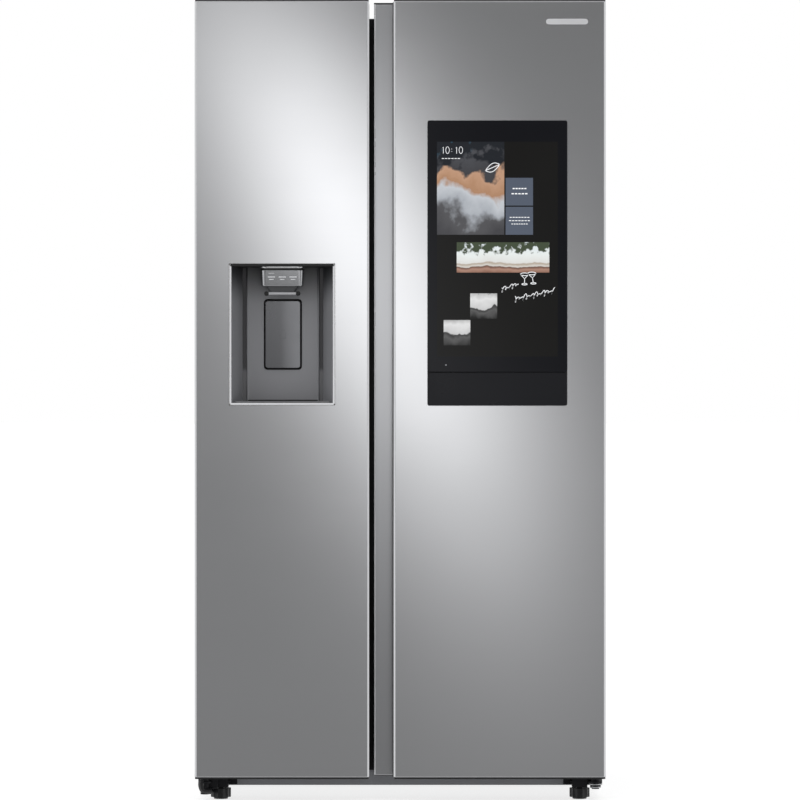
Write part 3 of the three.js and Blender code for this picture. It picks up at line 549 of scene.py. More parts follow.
def make_world():
    """White all round, and darker only underneath, where glossy surfaces see past the floor."""
    world = bpy.data.worlds.new("studio")
    world.use_nodes = True
    tree = world.node_tree
    tree.nodes.clear()
    out = tree.nodes.new("ShaderNodeOutputWorld")
    background = tree.nodes.new("ShaderNodeBackground")
    coords = tree.nodes.new("ShaderNodeTexCoord")
    parts = tree.nodes.new("ShaderNodeSeparateXYZ")
    ramp = tree.nodes.new("ShaderNodeMapRange")
    ramp.interpolation_type = "SMOOTHSTEP"
    for name, value in (("From Min", -0.7), ("From Max", -0.05), ("To Min", 0.6), ("To Max", WORLD_LIGHT)):
        ramp.inputs[name].default_value = value
    tree.links.new(coords.outputs["Generated"], parts.inputs[0])
    tree.links.new(parts.outputs["Z"], ramp.inputs["Value"])
    tree.links.new(ramp.outputs[0], background.inputs["Color"])
    tree.links.new(background.outputs[0], out.inputs["Surface"])
    bpy.context.scene.world = world


CARD_AHEAD = 1.5  # how far in front of the doors the reflected card stands
CARD_SPREAD = 1 + CARD_AHEAD / EYE_DISTANCE  # door positions grow by this on the card, as the camera sees it


def make_card():
    """A large soft card that only reflections see: an even grey with one slanting bright streak."""
    bm = bmesh.new()
    bmesh.ops.create_grid(bm, x_segments=2, y_segments=2, size=0.5)
    for v in bm.verts:
        v.co = Vector((v.co.x * 14, 0, v.co.y * 12))
    card = mesh_object("reflected_card", bm)
    card.location = (0, DOOR_FRONT - CARD_AHEAD, EYE_HEIGHT)
    f = Finish("card_light")
    f.tree.nodes.remove(f.shader)
    x, z = f.axis("X"), f.axis("Z")
    down = f.math("DIVIDE", f.math("SUBTRACT", STREAK_TOP * CARD_SPREAD, z), STREAK_FALL * CARD_SPREAD)
    bend = f.math("MULTIPLY", down, f.math("SUBTRACT", STREAK_SLANT, f.math("MULTIPLY", down, STREAK_BEND)))
    off = f.math("DIVIDE", f.math("SUBTRACT", x, f.math("SUBTRACT", bend, STREAK_SIDE)), STREAK_WIDTH)
    across = f.math("POWER", BELL, f.math("MULTIPLY", f.math("MULTIPLY", off, off), -0.5))
    rise = f.math("DIVIDE", f.math("SUBTRACT", z, STREAK_MIDDLE * CARD_SPREAD), STREAK_LENGTH * CARD_SPREAD)
    along = f.math("POWER", BELL, f.math("MULTIPLY", f.math("MULTIPLY", rise, rise), -0.5))
    streak = f.math("MULTIPLY", f.math("MULTIPLY", across, along), STREAK_LIGHT)
    upper_right = f.math(
        "MULTIPLY", f.span(x, -0.06, 0.02, smooth=True), f.span(z, 0.0, 0.45, 0, 0.18, smooth=True)
    )
    streak = f.math("MULTIPLY", streak, f.math("SUBTRACT", 1.0, upper_right))
    beside = f.span(f.math("ABSOLUTE", x), 1.1, 2.2, 0, 0.75, smooth=True)
    above = f.span(z, 1.45, 2.2, 0, 0.75, smooth=True)
    below = f.span(z, -2.2, -1.5, 0.5, 0, smooth=True)
    border = f.math("MAXIMUM", beside, f.math("MAXIMUM", above, below))
    top_fade = f.span(z, 0.84, 1.02, 0, 0.14, smooth=True)
    right_fade = f.math(
        "MULTIPLY", f.span(x, -0.06, 0.02, smooth=True), f.span(z, 0.35, 0.8, 0, 0.11, smooth=True)
    )
    faded = f.math("SUBTRACT", f.math("SUBTRACT", 1.0, top_fade), right_fade)
    light = f.math("ADD", f.math("MULTIPLY", f.math("ADD", streak, CARD_LIGHT), faded), border)
    glow = f.node("ShaderNodeEmission")
    f.link(light, glow.inputs["Strength"])
    out = next(n for n in f.tree.nodes if n.type == "OUTPUT_MATERIAL")
    f.link(glow.outputs[0], out.inputs["Surface"])
    card.data.materials.append(f.material)
    for ray in ("camera", "diffuse", "transmission", "volume_scatter", "shadow"):
        setattr(card, "visible_" + ray, False)


def area_light(name, place, target, size, power):
    data = bpy.data.lights.new(name, "AREA")
    data.shape = "RECTANGLE"
    data.size, data.size_y = size
    data.energy = power
    lamp = add_object(name, data)
    lamp.location = place
    lamp.rotation_euler = (Vector(target) - Vector(place)).to_track_quat("-Z", "Y").to_euler()
    lamp.visible_glossy = False


WORLD_LIGHT = 1.0
FLOOR_GLOW = 0.76
CARD_LIGHT = 0.292
STREAK_LIGHT = 1.90
STREAK_WIDTH = 0.172
STREAK_TOP = 0.82  # above the eye, at the doors
STREAK_FALL = 1.484
STREAK_MIDDLE = 0.325
STREAK_LENGTH = 0.42
STREAK_SLANT = 0.984  # how far it runs to the right as it falls
STREAK_BEND = 0.305
STREAK_SIDE = 0.373  # how far left of the middle it starts

make_camera()
make_floor()
make_world()
make_card()
area_light("overhead", (0, -1.5, 4.5), (0, 0, 0.6), (4, 4), 60)
area_light("left_soft", (-4, -3, 2.6), (0, 0, 0.9), (2, 3), 40)

scene = bpy.context.scene
scene.view_settings.view_transform = "Standard"

# ---------- CAD nodes that keep their shape ----------

dress("cabinet_wrapper", CABINET_PAINT, 1.0)
dress("mullion_cover", BLACK_PAINT, 0.5)
dress("insulation_body freezer_door_core fridge_door_core", FOAM, 1.0)
dress("back_panel freezer_top_hinge fridge_top_hinge", ZINC, 0.4)
dress("base_pan machine_cover evaporator condenser", ZINC, 0.3, 1)
dress("freezer_liner fridge_liner water_valve ice_maker", WHITE, 1.5, 3)
dress("freezer_duct_cover", WHITE, 0.8, 2)
dress("freezer_door_liner fridge_door_liner", DOOR_WHITE, 2.0, 3)
dress("kick_plate", BASE_PAINT, 1.0)
dress("compressor", CAST_BLACK, 3.0, 3)
dress("condenser_fan roller_left roller_right", BLACK, 0.5)
dress("cord_inlet", BLACK, 0.4, 2)
dress("drip_grille", GRILLE_GREY, 0.4, 2)
dress("crisper_cover freezer_shelf_1 freezer_shelf_2 fridge_shelf_1 fridge_shelf_2", PANE, 0.8)
dress("freezer_hinge_cover fridge_hinge_cover", GREY, 1.5, 3)
dress("freezer_lower_hinge fridge_lower_hinge", BLACK_PAINT, 0.5)
dress("freezer_levelling_foot fridge_levelling_foot", RIBBED_BLACK, 0.4)
dress("freezer_drawer crisper_lower crisper_upper", CLEAR, 1.0)
dress("ice_bucket freezer_bin_1 freezer_bin_2 fridge_bin_1 fridge_bin_2", CLEAR, 1.0)
dress("freezer_gasket fridge_gasket", RUBBER, 1.5, 3)
dress(
    "freezer_door_top_cap fridge_door_top_cap freezer_door_bottom_cap fridge_door_bottom_cap", CAP_GREY, 0.4
)


# ---------- the doors' outsides ----------

SKIN_LOW, SKIN_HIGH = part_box("freezer_door_skin")
FRIDGE_LOW, FRIDGE_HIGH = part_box("fridge_door_skin")
STRIP_LOW, STRIP_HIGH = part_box("handle_strip")
SIDE_RADIUS = 4.4 * MM  # reach of the doors' upright front edges
EDGE_DEPTH = 0.62  # how deep they are for their reach
EDGE_FLATNESS = 1.75  # 1 is a round edge and 2 a bevel
END_RADIUS = 3 * MM  # of their top and bottom edges
SHEET_THICKNESS = 1.2 * MM
SKIN_Z = (SKIN_LOW.z - 2.7 * MM, SKIN_HIGH.z + 0.5 * MM)
NOTCH_WIDTH, NOTCH_DEPTH, NOTCH_HEIGHT = 44 * MM, 79 * MM, 32 * MM  # the top hinges' swing room
LIP_BACK = DOOR_FRONT + 18 * MM
STRIP_TOP = SKIN_HIGH.z + 0.9 * MM


def path_normals(path):
    """Outward mitre vectors of an open path that runs with the outside on its right."""
    normals = []
    for i, point in enumerate(path):
        sides = []
        for a, b in ((path[max(i - 1, 0)], point), (point, path[min(i + 1, len(path) - 1)])):
            along = Vector(b) - Vector(a)
            if along.length > 1e-9:
                along.normalize()
                sides.append(Vector((along.y, -along.x)))
        mean = sides[0] + sides[-1]
        normals.append(mean / max(1 + sides[0].dot(sides[-1]), 0.2) if len(sides) > 1 else sides[0])
    return normals


def bent_sheet(name, corners, z):
    """A sheet bent along an open path of corners (x, y, reach), curling inwards round its top and bottom ends."""
    first, last = corners[0], corners[-1]
    path = [first[:2]] + eased_open(corners) + [last[:2]]
    path = [p for i, p in enumerate(path) if i == 0 or (Vector(p) - Vector(path[i - 1])).length > 1e-7]
    normals = path_normals(path)
    levels = []
    steps = 6
    for i in range(steps + 1):
        turn = math.radians(90 * i / steps)
        levels.append((z[0] + END_RADIUS * (1 - math.cos(turn)), END_RADIUS * (1 - math.sin(turn))))
    levels += [(z[0] + z[1] - height, inset) for height, inset in levels[::-1]]
    bm = bmesh.new()
    rings = []
    for height, inset in levels:
        outer = [(p[0] - n.x * inset, p[1] - n.y * inset, height) for p, n in zip(path, normals)]
        inset += SHEET_THICKNESS
        inner = [(p[0] - n.x * inset, p[1] - n.y * inset, height) for p, n in zip(path, normals)]
        rings.append([bm.verts.new(q) for q in outer + inner[::-1]])
    join_rings(bm, zip(rings, rings[1:]))
    for ring in (rings[0], rings[-1]):
        count = len(path)
        for i in range(count - 1):
            bm.faces.new((ring[i], ring[i + 1], ring[2 * count - 2 - i], ring[2 * count - 1 - i]))
    return mesh_object(name, bm)


def eased_open(corners, steps=8):
    """The inner points of an open path. Its corners turn as flattened curves, which are shallower
    towards the door's sides than along its front, like the folded edge of a steel sheet."""
    points = []
    for before, (x, y, reach), after in zip(corners, corners[1:], corners[2:]):
        corner = Vector((x, y))
        arms = []
        for end in (before, after):
            along = (Vector(end[:2]) - corner).normalized()
            arms.append(along * reach * (EDGE_DEPTH if abs(along.y) > 0.5 else 1))
        for k in range(steps + 1):
            turn = math.radians(90 * k / steps)
            shares = 1 - math.sin(turn) ** EDGE_FLATNESS, 1 - math.cos(turn) ** EDGE_FLATNESS
            points.append(tuple(corner + arms[0] * shares[0] + arms[1] * shares[1]))
    return points


def window(name, low_x, high_x, low_z, high_z):
    """A cutter through the front sheet."""
    return cutting_block(name, (low_x, DOOR_FRONT - 4 * MM, low_z), (high_x, DOOR_FRONT + 8 * MM, high_z))


def hinge_room(side_x, inwards):
    """A cutter for the top hinge's swing room, at the back of a door's upper corner."""
    xs = sorted((side_x - inwards * 2 * MM, side_x + inwards * NOTCH_WIDTH))
    y = (SKIN_HIGH.y - NOTCH_DEPTH, SKIN_HIGH.y + 2 * MM)
    z = (SKIN_HIGH.z - NOTCH_HEIGHT, SKIN_HIGH.z + 9 * MM)
    return cutting_block("hinge_room", *zip(xs, y, z))


def door_skins():
    back = SKIN_HIGH.y - 0.5 * MM
    left, free = SKIN_LOW.x, SKIN_HIGH.x
    freezer = bent_sheet(
        "freezer_door_sheet",
        [
            (left, back, 0),
            (left, DOOR_FRONT, SIDE_RADIUS),
            (free, DOOR_FRONT, SIDE_RADIUS),
            (free, LIP_BACK, 2 * MM),
            (free - 25 * MM, LIP_BACK, 2 * MM),
            (free - 25 * MM, LIP_BACK + 42 * MM, 2 * MM),
            (free, LIP_BACK + 42 * MM, 3 * MM),
            (free, back, 0),
        ],
        SKIN_Z,
    )
    cut(freezer, hinge_room(left, 1))
    well_low, well_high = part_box("dispenser_housing")
    edge = 0.3 * MM
    cut(
        freezer,
        window(
            "dispenser_window", well_low.x - edge, well_high.x + edge, well_low.z - edge, well_high.z + edge
        ),
    )
    place(smooth_by_angle(freezer, 40), "freezer_door", STEEL, "stainless")
    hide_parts("freezer_door_skin")

    right, lip = FRIDGE_HIGH.x, FRIDGE_LOW.x
    fridge = bent_sheet(
        "fridge_door_sheet",
        [
            (STRIP_HIGH.x, LIP_BACK - 0.2 * MM, 0),
            (lip, LIP_BACK - 0.2 * MM, 2 * MM),
            (lip, DOOR_FRONT, SIDE_RADIUS),
            (right, DOOR_FRONT, SIDE_RADIUS),
            (right, back, 0),
        ],
        SKIN_Z,
    )
    cut(fridge, hinge_room(right, -1))
    glass_low, glass_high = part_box("display_housing")
    edge = 4 * MM
    cut(
        fridge,
        window(
            "display_window",
            glass_low.x + edge,
            glass_high.x - edge,
            glass_low.z + edge,
            glass_low.z + 627.4 * MM,
        ),
    )
    place(smooth_by_angle(fridge, 40), "fridge_door", STEEL, "stainless")
    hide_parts("fridge_door_skin")

    face = STRIP_LOW.y + 37.7 * MM  # the strip's face, at the bottom of the finger pocket
    strip = bent_sheet(
        "handle_strip_sheet",
        [
            (STRIP_LOW.x, back, 0),
            (STRIP_LOW.x, face, 4 * MM),
            (STRIP_HIGH.x - 2 * MM, face, 2 * MM),
            (STRIP_HIGH.x - 2 * MM, STRIP_LOW.y + 0.3 * MM, 0),
        ],
        (SKIN_Z[0], STRIP_TOP - 2.6 * MM),
    )
    place(smooth_by_angle(strip, 40), "fridge_door", STRIP_STEEL, "stainless")
    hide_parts("handle_strip")
    lowered_over_strip("fridge_door_core", FOAM, "foam")
    lowered_over_strip("fridge_door_top_cap", CAP_GREY, "black_plastic")
    shape = rounded(STRIP_LOW.x - 0.3 * MM, FRIDGE_LOW.x - 0.6 * MM, face, STRIP_HIGH.y, 3 * MM)
    cap = prism("handle_strip_cap", shape, (STRIP_TOP - 2.9 * MM, STRIP_TOP))
    place(soften(cap, 0.4), "fridge_door", BLACK_AND_PAINTED_SHADE, "black_plastic")
    wall = (
        (FRIDGE_LOW.x - 0.6 * MM, LIP_BACK + 0.3 * MM, STRIP_TOP - 2.8 * MM),
        (FRIDGE_LOW.x + 1.2 * MM, back, SKIN_HIGH.z),
    )
    place(blocks("handle_strip_step", [wall], 0.3), "fridge_door", BLACK_AND_PAINTED_SHADE, "black_plastic")
    z = (SKIN_Z[0] + 1 * MM, STRIP_TOP - 3.2 * MM)
    # Painted highlight: a lighter bead along the strip's left edge for the bright reflection of that edge.
    x = (STRIP_LOW.x + 0.4 * MM, STRIP_LOW.x + 3.8 * MM)
    bead = front_plate("handle_strip_highlight_bead", x, z, (face - 0.5 * MM, face + 1.5 * MM), 1.4 * MM, 0.8 * MM)
    place(bead, "fridge_door", STRIP_HIGHLIGHT_BEAD, "stainless")
    # Painted shade: a thin black strip standing for the shadowed groove where the handle strip meets the door's lip.
    x = (FRIDGE_LOW.x - 2.1 * MM, FRIDGE_LOW.x - 0.1 * MM)
    groove = front_plate("door_lip_painted_shade", x, z, (LIP_BACK - 6 * MM, LIP_BACK - 2 * MM), 0.8 * MM, 0.4 * MM)
    place(groove, "fridge_door", BLACK_AND_PAINTED_SHADE, "rubber")


def lowered_over_strip(node, material, slot):
    """Stands for a door node with a copy that ends just under the strip's cap where it lies behind the strip."""
    piece = add_object(node + "_stepped", NODES[node].data.copy())
    low = (STRIP_LOW.x - 2 * MM, STRIP_LOW.y, STRIP_TOP - 2.9 * MM)
    high = (
        FRIDGE_LOW.x + (1.5 if slot == "foam" else -0.6) * MM, SKIN_HIGH.y + 2 * MM, FRIDGE_HIGH.z + 9 * MM
    )
    cut(piece, cutting_block("strip_step", low, high))
    place(soften(piece, 0.4), "fridge_door", material, slot)
    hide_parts(node)


def bottom_trims():
    """The black trim under each door, which shows as a dark line: partly the door's dark bottom cap, partly painted
    shade for the shadow gap under the door.
    """
    for body, low, high in (("freezer_door", SKIN_LOW, SKIN_HIGH), ("fridge_door", FRIDGE_LOW, FRIDGE_HIGH)):
        plan = rounded(
            low.x + 0.8 * MM, high.x - 0.8 * MM, DOOR_FRONT + 0.6 * MM, DOOR_FRONT + 14 * MM, 4 * MM
        )
        trim = prism(body + "_bottom_trim", plan, (SKIN_Z[0] - 3 * MM, SKIN_Z[0] + 0.6 * MM))
        place(soften(trim, 0.4), body, BLACK_AND_PAINTED_SHADE, "black_plastic")


def hinge_hardware():
    """The plate and nut round the fridge door's pin, and the web and water elbow under the freezer door's."""
    low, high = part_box("fridge_lower_hinge")
    pin = (high.x - 15 * MM, low.y + 15 * MM)
    plate = turned(
        "hinge_plate",
        [(0, 0), (15, 0), (15.4, 0.3), (15.4, 1.9), (15, 2.2), (0, 2.2)],
        (pin[0], pin[1], low.z + 9.5 * MM),
        "z",
        32,
    )
    place(plate, "cabinet", ZINC, "zinc")
    nut = turned(
        "hinge_nut",
        [(0, 0), (11.4, 0), (12.4, 0.7), (12.4, 3.1), (11.4, 3.8), (0, 3.8)],
        (pin[0], pin[1], low.z + 2.2 * MM),
        "z",
        6,
    )
    place(nut, "cabinet", ZINC, "zinc")
    low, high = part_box("freezer_lower_hinge")
    x, y = low.x + 8 * MM, low.y + 9 * MM
    web = ((x + 4 * MM, y + 6 * MM, low.z + 12 * MM), (x + 36 * MM, y + 12 * MM, low.z + 36 * MM))
    place(blocks("hinge_web", [web], 2.0, 3), "cabinet", BLACK_PAINT, "black_paint")
    route = [(x, y, low.z + 31 * MM), (x, y, low.z + 18 * MM), (x + 5 * MM, y, low.z + 9 * MM)]
    route += [(x + 14 * MM, y, low.z + 8 * MM), (x + 24 * MM, y, low.z + 8 * MM)]
    place(tube("water_elbow", route, 7.6 * MM, 24), "cabinet", GLOSS_BLACK, "black_plastic")


def cabinet_trims():
    """Black trim that closes the view between the doors above and below the mullion cover, as painted shade in that
    narrow gap, and shelf rims.
    """
    low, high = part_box("mullion_cover")
    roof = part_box("cabinet_wrapper")[1].z
    x = (low.x + 20 * MM, high.x - 20 * MM)
    for name, z in (
        ("mullion_top_trim", (high.z - 2 * MM, roof - 1 * MM)),
        ("mullion_foot_trim", (62 * MM, low.z + 2 * MM)),
    ):
        front = min(low.y, -306 * MM) - 1.2 * MM
        piece = front_plate(name, x, z, (front - 1.0 * MM, front + 0.5 * MM), 1 * MM, 0.4 * MM)
        place(piece, "cabinet", BLACK_PAINT, "black_paint")
    shelves = ("freezer_shelf_1", "freezer_shelf_2", "fridge_shelf_1", "fridge_shelf_2")
    for node, lip in [(shelf, 7 * MM) for shelf in shelves] + [("crisper_cover", -1 * MM)]:
        low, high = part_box(node)
        x, z = (low.x + 1 * MM, high.x - 1 * MM), (low.z - lip, high.z + 1.5 * MM)
        rim = front_plate(node + "_rim", x, z, (low.y - 1 * MM, low.y + 9 * MM), 2 * MM, 1.5 * MM)
        place(rim, "cabinet", RIM, "white_liner")


door_skins()
bottom_trims()
hinge_hardware()
cabinet_trims()

# ---------- dispenser ----------


def painted_shade_grey(name, colour, dark, z, rough):
    """A moulded grey with painted shade: darker above a height, standing for the shade in the upper corners of a
    recess.
    """
    f = Finish(name)
    drift = f.noise(9.0, 3.0)
    tone = f.mix(drift, shade(colour, 0.97), shade(colour, 1.03))
    # painted shade: the tone turns to the dark colour across the height span z
    f.colour(f.mix(f.span(f.axis("Z"), z[0], z[1], smooth=True), tone, dark))
    f.rough(f.span(drift, 0.3, 0.7, rough - 0.04, rough + 0.04))
    f.bump(f.noise(900, 1.5), 0.04, 0.0002)
    return f.material


WELL_LOW, WELL_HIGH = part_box("dispenser_housing")
MIDDLE = (WELL_LOW.x + WELL_HIGH.x) / 2
HALF = (WELL_HIGH.x - WELL_LOW.x) / 2
FRAME_WIDTH = 5 * MM
OPEN_Z = (WELL_LOW.z + FRAME_WIDTH, WELL_HIGH.z - FRAME_WIDTH)
BACK_Y = DOOR_FRONT + 70 * MM  # the recess's back wall
GROOVE_FOOT = OPEN_Z[0] + 74 * MM  # the corner grooves are deeper above this height
PADDLE_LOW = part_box("dispenser_paddle")[0]
PADDLE_HALF = 39.3 * MM
PANEL_LOW, PANEL_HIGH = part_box("dispenser_panel")


def frame_ring():
    """The bright frame round the recess, whose inner edge slopes inwards."""
    steps = [(0, 4), (0, 0.3), (0.3, 0), (0.8, 0), (1.2, 0.15), (4.7, 2.6), (5, 3.2), (5, 6), (2, 6)]
    rings = []
    for inset, depth in steps:
        inset, depth = inset * MM, depth * MM
        outline = rounded(
            WELL_LOW.x + inset,
            WELL_HIGH.x - inset,
            WELL_LOW.z + inset,
            WELL_HIGH.z - inset,
            max(5.2 * MM - inset, 0.4 * MM),
        )
        rings.append([(u, WELL_LOW.y + depth, v) for u, v in outline])
    return smooth_by_angle(ring_loft("dispenser_frame", rings), 50)


def well_plan():
    """Half plan of the recess: slanting side wall, groove in the corner, and a soft ridge on the back wall."""
    right = [
        (HALF - FRAME_WIDTH, DOOR_FRONT + 3 * MM, 0),
        (92 * MM, BACK_Y - 5 * MM, 8 * MM),
        (89 * MM, BACK_Y + 5 * MM, 3 * MM),
        (82.5 * MM, BACK_Y + 5 * MM, 3 * MM),
        (80.5 * MM, BACK_Y - 0.6 * MM, 3 * MM),
        (72 * MM, BACK_Y, 6 * MM),
    ]
    left = [(-x, y, reach) for x, y, reach in right[::-1]]
    return [(MIDDLE + x, y) for x, y in eased(right + left)]


def dispenser_well():
    plan = well_plan()
    body = blocks(
        "dispenser_well",
        [
            (
                (WELL_LOW.x + 3 * MM, DOOR_FRONT + 6.1 * MM, WELL_LOW.z + 2 * MM),
                (WELL_HIGH.x - 3 * MM, WELL_HIGH.y, WELL_HIGH.z - 2 * MM),
            )
        ],
    )
    body.modifiers.clear()
    cut(body, prism("recess_cutter", plan, OPEN_Z))
    for side in (-1, 1):
        slot = rounded(
            MIDDLE + side * 85.5 * MM - 4.5 * MM,
            MIDDLE + side * 85.5 * MM + 4.5 * MM,
            BACK_Y - 2 * MM,
            BACK_Y + 16 * MM,
            4 * MM,
        )
        cut(body, prism("groove_cutter", slot, (GROOVE_FOOT, OPEN_Z[1])))
    pocket = rounded(
        MIDDLE - PADDLE_HALF - 3.2 * MM,
        MIDDLE + PADDLE_HALF + 3.2 * MM,
        PADDLE_LOW.z - 3.5 * MM,
        PADDLE_LOW.z + 154.4 * MM,
        8 * MM,
    )
    cut(
        body,
        loft(
            "pocket_cutter", [[(u, y, v) for u, v in pocket] for y in (BACK_Y - 3 * MM, WELL_HIGH.y - 3 * MM)]
        ),
    )
    return soften(body, 0.8, 2, 40)


def groove_shade_strips():
    """Dark strips of painted shade at the bottom of the corner grooves, with more painted shade along their upper
    part.
    """
    for side, name in ((-1, "left"), (1, "right")):
        middle = MIDDLE + side * 86 * MM
        strip = front_plate(
            f"groove_strip_{name}",
            (middle - 4.6 * MM, middle + 4.6 * MM),
            (OPEN_Z[0] + 1 * MM, OPEN_Z[1] - 1.5 * MM),
            (BACK_Y + 2 * MM, BACK_Y + 4.5 * MM),
            1 * MM,
            0.8 * MM,
        )
        place(strip, "freezer_door", GROOVE_PAINTED_SHADE_GREY, "grey_plastic")


def dispenser():
    place(frame_ring(), "freezer_door", FRAME_SATIN, "grey_plastic")
    # Painted shade: a black plate over the top of the bright frame, whose downward-facing slope lies in shade.
    brow = front_plate(
        "dispenser_brow_painted_shade",
        (WELL_LOW.x + 3 * MM, WELL_HIGH.x - 3 * MM),
        (OPEN_Z[1] - 0.4 * MM, WELL_HIGH.z - 0.2 * MM),
        (WELL_LOW.y - 0.3 * MM, WELL_LOW.y + 5 * MM),
        2 * MM,
        0.6 * MM,
    )
    place(brow, "freezer_door", BLACK_AND_PAINTED_SHADE, "black_plastic")
    groove_shade_strips()
    back_x = (MIDDLE - 78 * MM, MIDDLE + 78 * MM)
    slot_z = (OPEN_Z[0] + 4.2 * MM, OPEN_Z[0] + 7.0 * MM)
    slot = front_plate(
        "tray_slot", back_x, slot_z, (BACK_Y - 1.2 * MM, BACK_Y + 0.5 * MM), 0.8 * MM, 0.3 * MM
    )
    place(slot, "freezer_door", BLACK_AND_PAINTED_SHADE, "black_plastic")
    well = place(dispenser_well(), "freezer_door", WELL_PAINTED_SHADE_GREY, "grey_plastic")
    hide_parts("dispenser_housing")
    # Painted shade: a black plate just under the recess's ceiling, which lies in shadow.
    plan = [(MIDDLE + (x - MIDDLE) * 0.995, y) for x, y in well_plan()]
    ceiling = prism("dispenser_ceiling_painted_shade", plan, (OPEN_Z[1] - 1.2 * MM, OPEN_Z[1] - 0.1 * MM))
    place(smooth_by_angle(ceiling), "freezer_door", BLACK_AND_PAINTED_SHADE, "black_plastic")
    # Painted shade: a black plate at the back of the paddle's pocket, which lies in deep shadow.
    pocket = (MIDDLE - PADDLE_HALF - 3.1 * MM, MIDDLE + PADDLE_HALF + 3.1 * MM)
    shade_plate = front_plate(
        "paddle_pocket_painted_shade",
        pocket,
        (PADDLE_LOW.z - 3.4 * MM, PADDLE_LOW.z + 154.3 * MM),
        (WELL_HIGH.y - 3.9 * MM, WELL_HIGH.y - 3.2 * MM),
        7.9 * MM,
    )
    place(shade_plate, "freezer_door", BLACK_AND_PAINTED_SHADE, "black_plastic")


def paddle():
    """The lever plate: flat on its left, and falling back slightly towards its right."""

    def face(x):
        t = max(0.0, (x - MIDDLE + 3 * MM) / PADDLE_HALF)
        return PADDLE_LOW.y + 1.6 * MM * min(t, 1.2) ** 1.6

    x = (MIDDLE - PADDLE_HALF, MIDDLE + PADDLE_HALF)
    z = (PADDLE_LOW.z, PADDLE_LOW.z + 150.4 * MM)
    plate = curved_plate("paddle_plate", x, z, PADDLE_LOW.y + 6 * MM, 6.6 * MM, 1.3 * MM, face)
    place(plate, "paddle", PADDLE_GREY, "grey_plastic")
    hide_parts("dispenser_paddle")
    middle_z = (z[0] + z[1]) / 2
    front = PADDLE_LOW.y - 0.12 * MM
    lines = []
    for low_x, high_x, low_z, high_z in (
        (-7, -6, -9, 5), (6, 7, -9, 5), (-7, 7, -9, -8), (-3, -2, 7, 13), (2, 3, 7, 13)
    ):
        lines.append(
            (
                (MIDDLE + low_x * MM, front, middle_z + low_z * MM),
                (MIDDLE + high_x * MM, front + 1 * MM, middle_z + high_z * MM),
            )
        )
    place(blocks("paddle_emblem", lines, 0.2), "paddle", PADDLE_GREY, "grey_plastic")
    rod = turned(
        "paddle_pin",
        [(0, 0), (2.6, 0), (3, 0.4), (3, 82.8), (2.6, 83.2), (0, 83.2)],
        (MIDDLE - 41.6 * MM, PADDLE_LOW.y + 7.5 * MM, PADDLE_LOW.z + 146.4 * MM),
        "x",
        20,
    )
    place(rod, "paddle", BLACK, "grey_plastic")


def panel():
    """The control panel: a lip under the ceiling, a dark neck, and a tapering body whose face looks slightly down."""

    def plan(half, front, r):
        return rounded(
            MIDDLE - half * MM, MIDDLE + half * MM, PANEL_LOW.y + front * MM, PANEL_HIGH.y - 2 * MM, r * MM, 8
        )

    def level(half, front, r, down):
        return [(x, y, PANEL_HIGH.z - down * MM) for x, y in plan(half, front, r)]

    lip = loft(
        "panel_lip",
        [
            level(48.0, 0.8, 15, 4.6),
            level(49.6, 0, 16.4, 3.4),
            level(49.6, 0, 16.4, 0.8),
            level(48.6, 0.8, 15.4, 0),
        ],
    )
    place(smooth_by_angle(lip, 50), "freezer_door", FRAME_SATIN, "silver_plastic")
    neck = loft("panel_neck", [level(46.5, 4.4, 13, 9.2), level(46.5, 4.4, 13, 4.4)])
    place(smooth_by_angle(neck), "freezer_door", BLACK_AND_PAINTED_SHADE, "black_plastic")
    body = loft(
        "panel_body",
        [
            level(43.6, 10.2, 7, 45.0),
            level(45.4, 8.3, 8.5, 44.0),
            level(46.2, 7.5, 9.5, 42.0),
            level(48.4, 3.0, 12, 10),
            level(47.8, 3.6, 11.5, 9.3),
        ],
    )
    body = place(smooth_by_angle(body, 50), "freezer_door", PANEL_SATIN, "silver_plastic")
    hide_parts("dispenser_panel")
    marks = []
    for row, (down, height) in enumerate(((16, 0.45), (24, 1.2), (29.5, 0.8))):
        for column in (-24, 0, 24):
            if row == 0 and column > -24:
                continue
            wide = (6, 8, 5)[row]
            y = PANEL_LOW.y + (3.0 + 4.9 * (down - 10) / 34.3 - 0.12) * MM
            x, z = MIDDLE + column * MM, PANEL_HIGH.z - down * MM
            marks.append(
                ((x - wide * MM, y, z - height * MM), (x + wide * MM, y + 0.8 * MM, z + height * MM))
            )
    place(blocks("panel_marks", marks, 0.2), "freezer_door", PANEL_INK, "white_liner")


